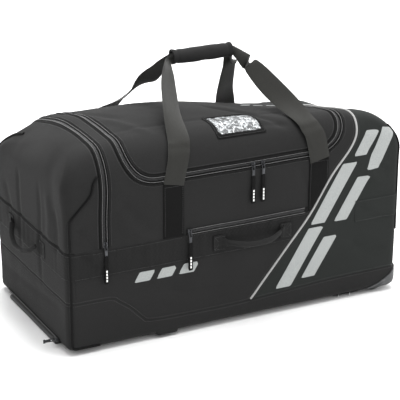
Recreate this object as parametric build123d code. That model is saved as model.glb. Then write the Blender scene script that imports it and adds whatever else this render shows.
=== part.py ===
from build123d import *
import os

# Wheeled hockey equipment bag, millimetres, +Z up.
# The body lies along X with its wheels at +X; the front, with the lid's straight zip, faces -Y.
# Everything is drawn about the middle of the body and moved by ORIGIN when it is written,
# so that the whole bag's box stands centred on the file's origin.

# ---- body ----
LENGTH = 840
WIDTH = 434
BASE_Z = 8                 # underside of the base fabric above the floor
FABRIC = 4                 # padded wall: fabric, foam and lining
GAP = 1.5                  # slit between a moving panel and its neighbour
FRONT = -WIDTH / 2
LEFT = -LENGTH / 2
RIGHT = LENGTH / 2
FAR = 600                  # beyond every face of the bag
FRONT_SHOULDER = (FRONT, 458)
RIDGE = (-20, 477)
REAR_SHOULDER = (-FRONT, 420)
FRONT_SHOULDER_R = 70
REAR_SHOULDER_R = 110
RIDGE_R = 500
SEAM_R = 22                # long bottom edges
PLAN_R = 18                # upright edges
BASE_LEFT_R = 14
BASE_RIGHT_R = 45
END_TOP_LEFT = (LEFT, 462)
END_TOP_RIGHT = (RIGHT, 432)
END_TOP_R = 90
TOP_BREAK = (210, 480)     # where the top begins to fall towards the wheels

# ---- openings ----
LID_X = (-281, 262)
LID_Z = 379                # straight zip along the front
LID_CORNER_R = 75
LID_HINGE_Y = 195
TAPE = 13                  # zip tape each side of the teeth
HOOD_X = -332              # end zip's plane
HOOD_Z = 240               # end hood's fold line
DIVIDER_T = 3

# ---- trim on the outside ----
BAND_Z = (177, 237)
RIGHT_BAND_Z = (190, 244)
BAND_T = 1.5
BAND_END_X = 300
SEAM_Z = 54                # base fabric meets the walls
PIPING_W = 6
PIPING_T = 2.5
SILVER_LINE = [(20, 40), (103, 140), (178, 228), (235, 316), (285, 380), (301, 430), (296, 500)]
CORNER_PIPING_IN = 5       # from the end's outline to the corner piping
POCKET_X = (-136, 175)
POCKET_ZIP_Z = (239, 250)
POCKET_ZIP_T = 1.5
POUCH_Z = 70
POUCH_T = 1.5

# ---- carry straps ----
WEBBING_W = 50
WEBBING_T = 2.5
STRAP_X = (-168, 200)
STRAP_OFF = 2.3            # middle of the webbing above the fabric
FRONT_LOOP_Z = 360         # where the front straps come free
REAR_LOOP_Z = 328
GRIP_X = (-66, 86)
GRIP_Z = 580
GRIP_R = 17
GRIP_WALL = 4
GRIP_FOLD_W = 20           # webbing folded inside the wrap
GRIP_LAYER_Y = 5

# ---- grab handles ----
LUG_R = 6
LUG_OUT = 11               # lug axis from the wall
BAR_T = 8
BAR_H = 14
FRONT_BAR = dict(ends=(-42, 101), level=205, depth=24, droop=40)
END_BAR = dict(ends=(-67, 95), level=207, depth=34, droop=60)
PATCH_W = 28
PATCH_H = 35

# ---- wheels ----
WHEEL_X = 366
WHEEL_R = 36
WHEEL_Y = -192
TYRE_W = 26
HUB_R = 27
HUB_W = 25
BEARING_R = 11
BEARING_W = 7
BEARING_BORE = 4.06
AXLE_R = 4
AXLE_HEAD_R = 8
AXLE_HEAD_T = 2.5
BORE_CLEAR = 0.05
POCKET_R = 40
POCKET_Y = (-208, -176)
BOX_X = (320, 412)
BOX_Y = (-214, -168)
BOX_TOP = 80
GUARD_T = 3
GUARD_Y = 140              # guard's inner edge from the middle
GUARD_X = 312
GUARD_RISE = 66
FLANGE_X = 258
SCREW_R = 2
SCREW_HEAD_R = 4
SCREW_HEAD_T = 1.5
SCREW_XY = [(272, -202), (272, -160), (302, -202), (302, -160)]

# ---- left foot, base zip and board ----
FOOT_Y = 139
FOOT_OUT = 4
FOOT_IN = 14
FOOT_H = 11
BASE_ZIP_Z = (12, 22)
BASE_ZIP_Y = (-162, 160)
BASE_ZIP_T = 1.2
BOARD_T = 3

# ---- sliders ----
SLIDER_W = 9
SLIDER_H = 14
SLIDER_T = 5
SLIDER_CLEAR = 1.2
TAB_W = 7
TAB_T = 1.4
TAB_L = 26
EYE_W = 5                  # the tab's eye, round the slider's bridge
EYE_L = 8
TIP_W = 11
TIP_T = 4
TIP_L = 62
MAIN_SLIDER_X = (27, 52)
END_SLIDER_Z = 250
POCKET_SLIDER_X = -130
BASE_SLIDER_Y = -152
BASE_PULL_L = 26

# ---- ID window on the lid ----
WINDOW_X = (-50, 72)
WINDOW_Y = (-200, -116)
WINDOW_EDGE = 9
CARD_T = 0.5
FILM_T = 0.6
FRAME_T = 1.8

CRUMB = 20                 # a cut's leftover smaller than this, in cubic mm, is dropped
ORIGIN = Pos(16, 15.17, 0)


def block(x, y, z):
    """A box between the given limits."""
    size = (x[1] - x[0], y[1] - y[0], z[1] - z[0])
    return Pos(x[0], y[0], z[0]) * Box(*size, align=(Align.MIN, Align.MIN, Align.MIN))


def outline(corners, grow=0):
    """A flat face with each corner (u, v, radius) rounded, grown or shrunk all round."""
    face = Polygon(*[(u, v) for u, v, _ in corners], align=None)
    if grow:
        face = offset(face, grow, kind=Kind.INTERSECTION)
    for u, v, radius in corners:
        if radius:
            face = fillet(face.vertices().sort_by_distance((u, v))[0], radius + grow)
    return face


def cross_section(grow=0):
    corners = [
        (FRONT, BASE_Z, SEAM_R), (-FRONT, BASE_Z, SEAM_R), (*REAR_SHOULDER, REAR_SHOULDER_R),
        (*RIDGE, RIDGE_R), (*FRONT_SHOULDER, FRONT_SHOULDER_R),
    ]
    return outline(corners, grow)


def side_outline(grow=0):
    corners = [
        (LEFT, BASE_Z, BASE_LEFT_R), (RIGHT, BASE_Z, BASE_RIGHT_R), (*END_TOP_RIGHT, END_TOP_R),
        (*TOP_BREAK, 0), (LEFT / 2, TOP_BREAK[1], 0), (*END_TOP_LEFT, END_TOP_R),
    ]
    return outline(corners, grow)


def plan_outline(grow=0):
    corners = [(x, y, PLAN_R) for x, y in ((LEFT, FRONT), (RIGHT, FRONT), (RIGHT, -FRONT), (LEFT, -FRONT))]
    return outline(corners, grow)


def body(grow=0):
    """The bag's outer form, grown or shrunk all over."""
    form = extrude(Plane.YZ * cross_section(grow), FAR, both=True)
    form &= extrude(Plane.XZ * side_outline(grow), FAR, both=True)
    return form & extrude(Plane.XY * plan_outline(grow), FAR)


def skin(inner, outer):
    """A layer that follows the bag's form between two distances from it."""
    return body(outer) - body(inner)


def lid_zone(grow):
    """The U that the main zip draws in the front view, up to the rear fold line."""
    u = outline([
        (LID_X[0] - grow, LID_Z - grow, LID_CORNER_R + grow), (LID_X[1] + grow, LID_Z - grow, LID_CORNER_R + grow),
        (LID_X[1] + grow, FAR, 0), (LID_X[0] - grow, FAR, 0),
    ])
    zone = extrude(Plane.XZ * u, FAR, both=True)
    return zone & block((-FAR, FAR), (-FAR, LID_HINGE_Y + min(max(grow, -GAP / 2), GAP / 2)), (0, FAR))


def hood_zone(grow):
    return block((-FAR, HOOD_X + grow), (-FAR, FAR), (HOOD_Z - min(max(grow, -GAP / 2), GAP / 2), FAR))


def silver_curve(shift):
    return Spline(*[(x + shift, z) for x, z in SILVER_LINE])


def silver_zone(shift):
    """Everything to the right of the silver line in the front view."""
    curve = silver_curve(shift)
    edge = Polyline(curve @ 1, (FAR, SILVER_LINE[-1][1]), (FAR, -FAR), (SILVER_LINE[0][0] + shift, -FAR), curve @ 0)
    return extrude(Plane.XZ * make_face(curve + edge), FAR, both=True)


def rear(part):
    """The mirrored copy on the other long side."""
    return mirror(part, about=Plane.XZ)


# ---- walls ----
def guard_zone():
    """The front view of the corner guard, a low curved triangle."""
    edge = ThreePointArc((GUARD_X, BASE_Z), (RIGHT - 40, BASE_Z + 20), (RIGHT + 10, GUARD_RISE))
    rim = Polyline((RIGHT + 10, GUARD_RISE), (RIGHT + 10, -10), (GUARD_X, -10), (GUARD_X, BASE_Z))
    zone = extrude(Plane.XZ * make_face(edge + rim), FAR, both=True)
    return zone & block((0, FAR), (-FAR, -GUARD_Y), (-FAR, FAR))


def screw_shanks(radius):
    shank = Cylinder(radius, 3 * FABRIC, align=(Align.CENTER, Align.CENTER, Align.MIN))
    return Compound([Pos(x, y, BASE_Z - GUARD_T) * shank for x, y in SCREW_XY])


def fixed_walls():
    """The padded fabric that doesn't open, as one layer before its seams part it."""
    walls = skin(-FABRIC, 0)
    walls -= lid_zone(GAP / 2)
    walls -= hood_zone(GAP / 2)
    wheel_room = guard_zone() + block(BOX_X, BOX_Y, (0, BOX_TOP))
    return walls - wheel_room - rear(wheel_room)


def wall_panels():
    walls = fixed_walls()
    holes = screw_shanks(SCREW_R + BORE_CLEAR)
    low = block((-FAR, FAR), (-FAR, FAR), (-FAR, SEAM_Z))
    panels = {"base_tub": (walls & low) - holes - rear(holes)}
    walls -= low
    lower_tape = lid_zone(TAPE)
    panels["lid_zip_lower_tape"] = walls & lower_tape & block((-FAR, FAR), (-FAR, LID_HINGE_Y), (0, FAR))
    walls -= panels["lid_zip_lower_tape"]
    panels["end_zip_fixed_tape"] = walls & block((-FAR, HOOD_X + TAPE), (-FAR, FAR), (HOOD_Z + GAP, FAR))
    walls -= block((-FAR, HOOD_X + TAPE), (-FAR, FAR), (HOOD_Z + GAP, FAR))
    panels["right_end_panel"] = walls & silver_zone(0)
    walls -= silver_zone(0)
    panels["left_end_wall"] = walls & block((-FAR, LEFT + PLAN_R), (-FAR, FAR), (0, FAR))
    walls -= block((-FAR, LEFT + PLAN_R), (-FAR, FAR), (0, FAR))
    panels["back_wall"] = walls & block((-FAR, FAR), (LID_HINGE_Y - FABRIC, FAR), (0, FAR))
    walls -= block((-FAR, FAR), (LID_HINGE_Y - FABRIC, FAR), (0, FAR))
    over = block((-FAR, FAR), (FRONT + FRONT_SHOULDER_R, FAR), (0, FAR))
    panels["left_top_strip"] = walls & over & block((-FAR, 0), (-FAR, FAR), (0, FAR))
    panels["right_top_strip"] = walls & over & block((0, FAR), (-FAR, FAR), (0, FAR))
    panels["front_wall"] = walls - over
    return panels


def divider_panel():
    x = (HOOD_X + GAP, HOOD_X + GAP + DIVIDER_T)
    return body(-FABRIC - BASE_ZIP_T) & block(x, (-FAR, FAR), (BASE_Z + FABRIC, FAR))


def base_board():
    z = (BASE_Z + FABRIC + GAP, BASE_Z + FABRIC + GAP + BOARD_T)
    inside = FRONT + FABRIC + SEAM_R / 2
    start = HOOD_X + GAP + 2 * DIVIDER_T
    wide = block((start, FLANGE_X - FABRIC), (inside, -inside), z)
    tongue = block((start, RIGHT - BASE_RIGHT_R), (BOX_Y[1] + FABRIC, -BOX_Y[1] - FABRIC), z)
    return wide + tongue


def pocket_pouch():
    """The front pocket's lining, lying flat behind the front wall."""
    y = FRONT + FABRIC + POUCH_T / 2
    return block(POCKET_X, (y, y + POUCH_T), (POUCH_Z, POCKET_ZIP_Z[1]))


# ---- lid and end hood ----
def lid_panels():
    lid = skin(-FABRIC, 0) & lid_zone(-GAP / 2)
    middle = lid_zone(-TAPE) + block(LID_X, (0, FAR), (0, 0.1))
    middle &= block((-FAR, FAR), (-FAR, FAR), (0, FAR))
    return {"lid_shell": lid & middle, "lid_zip_upper_tape": lid - middle}


def window_zone(edge):
    x = (WINDOW_X[0] + edge, WINDOW_X[1] - edge)
    y = (WINDOW_Y[0] + edge, WINDOW_Y[1] - edge)
    return block(x, y, (LID_Z, FAR))


def id_window():
    glazing = window_zone(WINDOW_EDGE)
    film_in = CARD_T + FILM_T / 6
    return {
        "id_window_frame": skin(0, FRAME_T) & (window_zone(0) - glazing),
        "id_card": skin(0, CARD_T) & window_zone(WINDOW_EDGE + GAP),
        "id_window_film": skin(film_in, film_in + FILM_T) & glazing,
    }


def hood_panels():
    hood = skin(-FABRIC, 0) & hood_zone(-GAP / 2)
    cloth = hood_zone(-TAPE)
    return {"end_hood_shell": hood & cloth, "hood_zip_tape": hood - cloth}


# ---- trim ----
def corner_ridge(y):
    """The piping beside the left end's edge, as a ridge on the face that lies within y."""
    stroke = side_outline(-CORNER_PIPING_IN) - side_outline(-CORNER_PIPING_IN - PIPING_W)
    face = block((-FAR, HOOD_X - TAPE), y, (SEAM_Z, FAR))
    return extrude(Plane.XZ * stroke, FAR, both=True) & face & skin(0, PIPING_T)


def trim():
    front_ridge = corner_ridge((-FAR, FRONT + FRONT_SHOULDER_R))
    rear_ridge = corner_ridge((-FRONT - REAR_SHOULDER_R, FAR))
    below = block((-FAR, FAR), (-FAR, FAR), (-FAR, HOOD_Z - GAP))
    above = block((-FAR, FAR), (-FAR, FAR), (HOOD_Z + GAP, FAR))
    band = skin(0, BAND_T)
    clear = silver_zone(-PIPING_W / 2)
    left_band = band & block((-FAR, FAR), (-FAR, FAR), BAND_Z)
    left_band -= clear
    left_band -= front_ridge
    left_band -= rear_ridge
    right_band = band & block((BAND_END_X, FAR), (-FAR, FAR), RIGHT_BAND_Z)
    silver = skin(0, PIPING_T) & (clear - silver_zone(PIPING_W / 2))
    silver &= block((-FAR, FAR), (-FAR, FAR), (SEAM_Z, FAR))
    hood_ridges = (front_ridge & above).solids() + (rear_ridge & above).solids()
    return {
        "waist_band_left": left_band,
        "waist_band_right": right_band,
        "silver_piping": silver,
        "front_corner_piping": front_ridge & below,
        "rear_corner_piping": rear_ridge & below,
        "hood_piping": Compound(hood_ridges),
    }


def zip_tapes():
    pocket = block(POCKET_X, (FRONT - POCKET_ZIP_T, FRONT), POCKET_ZIP_Z)
    base = skin(0, BASE_ZIP_T) & block((-FAR, LEFT + PLAN_R), BASE_ZIP_Y, BASE_ZIP_Z)
    return {"pocket_zip_tape": pocket, "base_zip_tape": base}


def foot_bar():
    x = (LEFT - FOOT_OUT, LEFT + FOOT_IN)
    bar = block(x, (-FOOT_Y, FOOT_Y), (0, FOOT_H))
    bar = fillet(bar.edges().filter_by(Axis.Y).group_by(Axis.X)[0], FOOT_OUT)
    return bar - body(BASE_ZIP_T)


# ---- carry straps ----
def strap_anchors():
    """The four sewn-down straps, two on each long side."""
    half = WEBBING_W / 2
    front = [block((x - half, x + half), (FRONT - WEBBING_T, FRONT), (POCKET_ZIP_Z[0], FRONT_LOOP_Z)) for x in STRAP_X]
    back = [block((x - half, x + half), (-FRONT, -FRONT + WEBBING_T), (POCKET_ZIP_Z[0], REAR_LOOP_Z)) for x in STRAP_X]
    clear = silver_zone(-PIPING_W / 2)
    front = [strap - clear for strap in front]
    back = [strap - clear for strap in back]
    return {
        "front_strap_anchors": Compound([strap.solid() for strap in front]),
        "rear_strap_anchors": Compound([strap.solid() for strap in back]),
    }


def ribbon(stations):
    """Webbing through (centre, direction, side, width) stations, as short ruled spans."""
    faces = []
    for centre, direction, side, width in stations:
        plane = Plane(origin=centre, x_dir=side, z_dir=direction)
        faces.append((plane * Rectangle(width, WEBBING_T)).face())
    spans = [loft([a, b], ruled=True) for a, b in zip(faces, faces[1:])]
    whole = spans[0]
    for span in spans[1:]:
        whole += span
    return whole


def shoulder(centre, radius, turn, side):
    """A point and travel direction on a shoulder, turn degrees up from the wall."""
    radial = Vector(0, side, 0).rotate(Axis.X, side * turn)
    travel = Vector(0, 0, 1).rotate(Axis.X, side * turn)
    return Vector(0, *centre) + radial * radius, travel


def carry_leg(x, lean, side, start_z, centre, radius, leave):
    """One side of a carry loop, from its sewn line over the shoulder to the grip."""
    wall = side * (-FRONT + STRAP_OFF)
    inward = 1 if lean > 0 else -1
    across = Vector(1, 0, 0)
    stations = [(Vector(x, wall, start_z), Vector(0, 0, 1), across, WEBBING_W)]
    for turn in [leave * step / 4 for step in range(5)]:
        point, travel = shoulder(centre, radius + STRAP_OFF, turn, side)
        drift = lean * (0.05 + 0.2 * turn / leave)
        stations.append((Vector(x + drift, point.Y, point.Z), travel, across, WEBBING_W))
    reach = 12
    layer = side * GRIP_LAYER_Y
    last = stations[-1][0]
    mouth = Vector(x + lean - inward * reach, layer, GRIP_Z - reach / 2)
    rise = (mouth - last).normalized()
    middle = last + (mouth - last) * 0.55
    stations.append((middle, rise, Vector(1, 0, -rise.X / rise.Z), WEBBING_W * 0.8))
    stations.append((mouth, Vector(inward, 0, 1), Vector(inward, 0, -1), GRIP_FOLD_W))
    return stations


def carry_loop(side, start_z, centre, radius, leave):
    left = carry_leg(STRAP_X[0], GRIP_X[0] - STRAP_X[0], side, start_z, centre, radius, leave)
    right = carry_leg(STRAP_X[1], GRIP_X[1] - STRAP_X[1], side, start_z, centre, radius, leave)
    layer = side * GRIP_LAYER_Y
    y = (layer - WEBBING_T / 2, layer + WEBBING_T / 2)
    fold = block((GRIP_X[0] - GAP, GRIP_X[1] + GAP), y, (GRIP_Z - GRIP_FOLD_W / 2, GRIP_Z + GRIP_FOLD_W / 2))
    ends = [(Vector(GRIP_X[0], layer, GRIP_Z), 1), (Vector(GRIP_X[1], layer, GRIP_Z), -1)]
    legs = []
    for stations, (end, inward) in zip([left, right], ends):
        stations.append((end, Vector(inward, 0, 0.01), Vector(0.01, 0, -inward), GRIP_FOLD_W))
        legs.append(ribbon(stations))
    return legs[0] + fold + legs[1]


def section_centres():
    """Centres of the front and rear shoulder arcs in the cross section."""
    arcs = [edge for edge in cross_section().edges() if edge.geom_type == GeomType.CIRCLE]
    front = [arc for arc in arcs if abs(arc.radius - FRONT_SHOULDER_R) < 0.1][0]
    back = [arc for arc in arcs if abs(arc.radius - REAR_SHOULDER_R) < 0.1][0]
    return [(arc.arc_center.X, arc.arc_center.Y) for arc in (front, back)]


def carry_loops():
    front, back = section_centres()
    return {
        "front_loop_webbing": carry_loop(-1, FRONT_LOOP_Z + GAP, front, FRONT_SHOULDER_R, 55),
        "rear_loop_webbing": carry_loop(1, REAR_LOOP_Z + GAP, back, REAR_SHOULDER_R, 46),
    }


def grip_wrap():
    length = GRIP_X[1] - GRIP_X[0] - 2 * GAP
    tube = Cylinder(GRIP_R, length) - Cylinder(GRIP_R - GRIP_WALL, length)
    return Pos((GRIP_X[0] + GRIP_X[1]) / 2, 0, GRIP_Z) * Rot(0, 90, 0) * tube


# ---- grab handles ----
def handle_bar(ends, level, depth, droop):
    """A bowed bar between two lugs on the X axis, hanging droop degrees below level."""
    span = ends[1] - ends[0] - 2 * GAP
    half = span / 2
    outer = ThreePointArc((-half, 0), (0, -depth), (half, 0))
    inner = ThreePointArc((-half + BAR_T, 0), (0, -depth + BAR_T), (half - BAR_T, 0))
    rim = Line(outer @ 1, inner @ 1) + Line(inner @ 0, outer @ 0)
    bow = extrude(make_face(outer + inner + rim), BAR_H / 2, both=True)
    bow &= block((-half, half), (-FAR, -LUG_R / 2), (-FAR, FAR))
    lug = Rot(0, 90, 0) * Cylinder(LUG_R, 1.5 * BAR_T)
    inset = half - 0.75 * BAR_T
    bar = bow + Pos(-inset, 0, 0) * lug + Pos(inset, 0, 0) * lug
    return Rot(droop, 0, 0) * bar


def patches(ends, level, depth, droop):
    """The stitched ends that hold a handle bar's lugs."""
    half = (ends[1] - ends[0]) / 2
    pad = block((half, half + PATCH_W), (LUG_OUT - BAND_T - WEBBING_T, LUG_OUT - BAND_T), (-PATCH_H / 2, PATCH_H / 2))
    stub = block((half, half + PATCH_W / 3), (-LUG_R, LUG_OUT - BAND_T), (-LUG_R, LUG_R))
    side = pad + stub
    return Compound(side.solids() + mirror(side, about=Plane.YZ).solids())


def handles():
    nodes = {}
    front_place = Pos(sum(FRONT_BAR["ends"]) / 2, FRONT - LUG_OUT, FRONT_BAR["level"])
    end_place = Pos(LEFT - LUG_OUT, sum(END_BAR["ends"]) / 2, END_BAR["level"]) * Rot(0, 0, -90)
    nodes["front_grab_handle"] = front_place * handle_bar(**FRONT_BAR)
    nodes["front_handle_patches"] = front_place * patches(**FRONT_BAR)
    nodes["end_grab_handle"] = end_place * handle_bar(**END_BAR)
    nodes["end_handle_patches"] = end_place * patches(**END_BAR)
    return nodes


# ---- wheels ----
def across(radius, y):
    """A round bar along Y at the wheel's axis."""
    bar = Rot(90, 0, 0) * Cylinder(radius, y[1] - y[0])
    return Pos(WHEEL_X, (y[0] + y[1]) / 2, WHEEL_R) * bar


def wheel_housing():
    guard = (body(GUARD_T) - body(-FABRIC)) & guard_zone()
    inner_box = block(BOX_X, BOX_Y, (BASE_Z - GUARD_T, BOX_TOP)) & body(-GAP)
    sole = block((FLANGE_X, BOX_X[1]), (BOX_Y[0], -GUARD_Y), (BASE_Z - GUARD_T, BASE_Z)) & body(GUARD_T)
    floor = block(BOX_X, BOX_Y, (BASE_Z - GUARD_T, BASE_Z + FABRIC)) & body(GUARD_T)
    housing = guard + inner_box + sole + floor
    pocket = across(POCKET_R, POCKET_Y)
    pocket += block((WHEEL_X - POCKET_R, WHEEL_X + POCKET_R), POCKET_Y, (-BASE_Z, BASE_Z + FABRIC))
    housing -= pocket
    housing -= across(AXLE_R + BORE_CLEAR, (BOX_Y[0] + GAP, 0))
    return housing - screw_shanks(SCREW_R + BORE_CLEAR)


def axle():
    pin = across(AXLE_R, (BOX_Y[0] + GAP, BOX_Y[1] + AXLE_HEAD_T))
    return pin + across(AXLE_HEAD_R, (BOX_Y[1], BOX_Y[1] + AXLE_HEAD_T))


def wheel():
    hub_y = (WHEEL_Y - HUB_W / 2, WHEEL_Y + HUB_W / 2)
    tyre_y = (WHEEL_Y - TYRE_W / 2, WHEEL_Y + TYRE_W / 2)
    seats = [(hub_y[0], hub_y[0] + BEARING_W), (hub_y[1] - BEARING_W, hub_y[1])]
    hub = across(HUB_R, hub_y) - across(BEARING_R - 2, hub_y)
    for seat in seats:
        hub -= across(BEARING_R, seat)
    tyre = across(WHEEL_R, tyre_y) - across(HUB_R, tyre_y)
    bearings = [across(BEARING_R, seat) - across(BEARING_BORE, seat) for seat in seats]
    return {"hub": hub, "tyre": tyre, "bearings": Compound([b.solid() for b in bearings])}


def housing_screws():
    head = Cylinder(SCREW_HEAD_R, SCREW_HEAD_T, align=(Align.CENTER, Align.CENTER, Align.MAX))
    shank = Cylinder(SCREW_R, 2 * FABRIC, align=(Align.CENTER, Align.CENTER, Align.MIN))
    screw = head + shank
    return Compound([(Pos(x, y, BASE_Z - GUARD_T) * screw).solid() for x, y in SCREW_XY])


def wheel_nodes():
    nodes = {
        "wheel_housing_front": wheel_housing(),
        "axle_front": axle(),
        "housing_screws_front": housing_screws(),
    }
    for piece, shape in wheel().items():
        nodes["wheel_" + piece + "_front"] = shape
    for name in list(nodes):
        nodes[name.replace("_front", "_rear")] = rear(nodes[name])
    return nodes


# ---- sliders and pulls ----
def slider():
    """A zip slider facing -Y, its middle at the origin of its back face."""
    shell = block((-SLIDER_W / 2, SLIDER_W / 2), (-SLIDER_T, 0), (-SLIDER_H / 2, SLIDER_H / 2))
    shell = chamfer(shell.edges().filter_by(Axis.Y), SLIDER_W / 5)
    foot = block((-1.5, 1.5), (-SLIDER_T - 3, -SLIDER_T), (-SLIDER_H / 2 + 1, -SLIDER_H / 2 + 4))
    head = block((-1.5, 1.5), (-SLIDER_T - 3, -SLIDER_T), (SLIDER_H / 2 - 4, SLIDER_H / 2 - 1))
    bridge = block((-1.5, 1.5), (-SLIDER_T - 4.5, -SLIDER_T - 3), (-SLIDER_H / 2 + 1, SLIDER_H / 2 - 1))
    return shell + foot + head + bridge


def pull(length):
    """A tab with a moulded tip, hanging from its hinge axis at the origin, behind the bridge."""
    tab = block((-TAB_W / 2, TAB_W / 2), (-TAB_T / 2, TAB_T / 2), (-TAB_L, TAB_T / 2))
    tab -= block((-EYE_W / 2, EYE_W / 2), (-TAB_T, TAB_T), (-EYE_L, -TAB_T / 2))
    if length <= TAB_L:
        return tab
    tip = block((-TIP_W / 2, TIP_W / 2), (-TIP_T / 2, TIP_T / 2), (-length, -TAB_L))
    tip = fillet(tip.edges().filter_by(Axis.Z), TIP_T / 3)
    return Compound([tab.solid(), tip.solid()])


def slider_nodes():
    hang = Pos(0, -SLIDER_T - 1.6, -1)
    back = FRONT - SLIDER_CLEAR
    length = TAB_L + TIP_L
    places = {
        "main_left": Pos(MAIN_SLIDER_X[0], back, LID_Z - 3),
        "main_right": Pos(MAIN_SLIDER_X[1], back, LID_Z - 3),
        "end": Pos(HOOD_X, back, END_SLIDER_Z),
        "pocket": Pos(POCKET_SLIDER_X, back - POCKET_ZIP_T, sum(POCKET_ZIP_Z) / 2),
    }
    nodes = {}
    for name, place in places.items():
        nodes[name + "_slider"] = place * slider()
        nodes[name + "_pull"] = place * hang * pull(length)
    low = Pos(LEFT - BASE_ZIP_T - SLIDER_CLEAR, BASE_SLIDER_Y, sum(BASE_ZIP_Z) / 2 + 1)
    low *= Rot(0, 0, -90) * Rot(0, 90, 0)
    nodes["base_slider"] = low * slider()
    nodes["base_pull"] = low * hang * Rot(-90, 0, 0) * pull(BASE_PULL_L)
    return nodes


def whole_bag():
    nodes = wall_panels()
    nodes["divider_panel"] = divider_panel()
    nodes["base_board"] = base_board()
    nodes["pocket_pouch"] = pocket_pouch()
    nodes["foot_bar"] = foot_bar()
    nodes["grip_wrap"] = grip_wrap()
    for group in (lid_panels, id_window, hood_panels, trim, zip_tapes, strap_anchors, carry_loops, handles,
                  wheel_nodes, slider_nodes):
        nodes.update(group())
    return nodes


os.makedirs("parts", exist_ok=True)
for name, shape in whole_bag().items():
    solids = [ORIGIN * solid for solid in shape.solids() if solid.volume > CRUMB]
    export_step(solids[0] if len(solids) == 1 else Compound(solids), "parts/" + name + ".step")
    box = Compound(solids).bounding_box()
    print(name, len(solids), [round(v, 1) for v in (*box.min, *box.max)])
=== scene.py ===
# %% [markdown]
# # A wheeled hockey equipment bag
# The bag is 84 cm of charcoal polyester round a lot of air. Its walls are soft panels sewn edge to edge,
# with zips, webbing and piping on top. The frame below is the measured CAD model: it says where each
# part is and what it moves with. Everything after it gives those parts their cloth, thread and plastic.

# %% Load the frame
import itertools
import math

import bmesh
import bpy
import numpy as np
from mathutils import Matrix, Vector

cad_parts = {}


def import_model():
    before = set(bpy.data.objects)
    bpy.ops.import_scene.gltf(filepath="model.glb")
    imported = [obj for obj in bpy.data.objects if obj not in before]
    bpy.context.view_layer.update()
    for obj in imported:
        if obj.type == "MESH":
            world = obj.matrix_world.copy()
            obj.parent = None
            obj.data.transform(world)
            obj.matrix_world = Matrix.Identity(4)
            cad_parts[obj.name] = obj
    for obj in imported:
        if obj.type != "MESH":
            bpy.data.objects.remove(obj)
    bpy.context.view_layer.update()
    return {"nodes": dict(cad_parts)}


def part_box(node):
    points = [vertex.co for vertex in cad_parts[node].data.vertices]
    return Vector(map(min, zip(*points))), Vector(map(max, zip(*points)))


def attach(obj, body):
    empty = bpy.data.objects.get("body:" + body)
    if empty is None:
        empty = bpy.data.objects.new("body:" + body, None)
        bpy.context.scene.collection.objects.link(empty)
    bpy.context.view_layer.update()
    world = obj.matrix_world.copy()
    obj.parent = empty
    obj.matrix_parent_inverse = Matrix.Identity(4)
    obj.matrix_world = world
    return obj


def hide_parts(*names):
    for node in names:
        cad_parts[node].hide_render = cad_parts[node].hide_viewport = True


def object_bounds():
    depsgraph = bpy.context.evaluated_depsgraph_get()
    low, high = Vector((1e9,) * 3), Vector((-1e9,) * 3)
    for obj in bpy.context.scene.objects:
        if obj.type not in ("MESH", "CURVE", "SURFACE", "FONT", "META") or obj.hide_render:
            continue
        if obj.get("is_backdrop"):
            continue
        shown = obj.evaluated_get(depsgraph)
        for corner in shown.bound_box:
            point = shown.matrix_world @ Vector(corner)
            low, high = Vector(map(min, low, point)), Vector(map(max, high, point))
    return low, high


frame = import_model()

# %% [markdown]
# ## Working in the bag's own millimetres
# A bag maker measures from the middle of the bag, so the script does too. The base tub of the frame is
# centred on the bag, so its box gives the middle, the length and the width.

# %% Measure the bag
MM = 0.001
tub_low, tub_high = (np.array(corner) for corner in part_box("base_tub"))
MIDDLE = np.array([(tub_low[0] + tub_high[0]) / 2, (tub_low[1] + tub_high[1]) / 2, 0.0])


def bag_box(node):
    """A node's lowest and highest corner, in millimetres from the bag's middle."""
    low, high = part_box(node)
    return (np.array(low) - MIDDLE) / MM, (np.array(high) - MIDDLE) / MM


def in_frame(points):
    """Points in the bag's millimetres, as metres in the frame, settled as the bag is."""
    return settled(points) * MM + MIDDLE


HALF_LENGTH = bag_box("base_tub")[1][0]
HALF_WIDTH = bag_box("base_tub")[1][1]
FRONT = -HALF_WIDTH
LEFT = -HALF_LENGTH
BASE_Z = bag_box("base_tub")[0][2]
GAP = 1.5
print("bag", round(2 * HALF_LENGTH), "by", round(2 * HALF_WIDTH), "mm, base at", round(BASE_Z, 1))

# %% [markdown]
# ## The form
# A stuffed bag is a rounded box with a domed top. Three plain facts describe it: its section across, its
# outline from the side, and how softly the two meet. A distance function holds all three, and a fine net
# of points pulled onto it gives one skin. Every panel is then cut from that one skin, as from one roll of
# cloth, so neighbours meet exactly at their seams.

# %% The form as a distance
SECTION = [
    (FRONT, -100, 0), (-FRONT, -100, 0), (-FRONT, 420, 110), (-20, 477, 500), (FRONT, 458, 70),
]
SIDE = [
    (LEFT, BASE_Z, 14), (-LEFT, BASE_Z, 45), (-LEFT, 432, 90), (210, 486, 400), (-210, 486, 900), (LEFT, 462, 90),
]
EDGE_R = 20


def outline_distance(corners, u, v):
    """Signed distance from a convex outline of (u, v, radius) corners, in anticlockwise order."""
    points = np.array([corner[:2] for corner in corners], float)
    ahead = np.roll(points, -1, 0) - points
    ahead /= np.linalg.norm(ahead, axis=1)[:, None]
    outward = np.stack([ahead[:, 1], -ahead[:, 0]], 1)
    distance = np.full(np.shape(u), -1e9)
    for point, out in zip(points, outward):
        distance = np.maximum(distance, (u - point[0]) * out[0] + (v - point[1]) * out[1])
    for i, (_, _, radius) in enumerate(corners):
        if not radius:
            continue
        turn = math.acos(float(np.clip(ahead[i - 1] @ ahead[i], -1, 1)))
        centre = points[i] + ahead[i] * radius * math.tan(turn / 2) - outward[i] * radius
        du, dv = u - centre[0], v - centre[1]
        beyond = (du * ahead[i - 1][0] + dv * ahead[i - 1][1] > 0) & (du * ahead[i][0] + dv * ahead[i][1] < 0)
        distance = np.where(beyond, np.hypot(du, dv) - radius, distance)
    return distance


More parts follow.
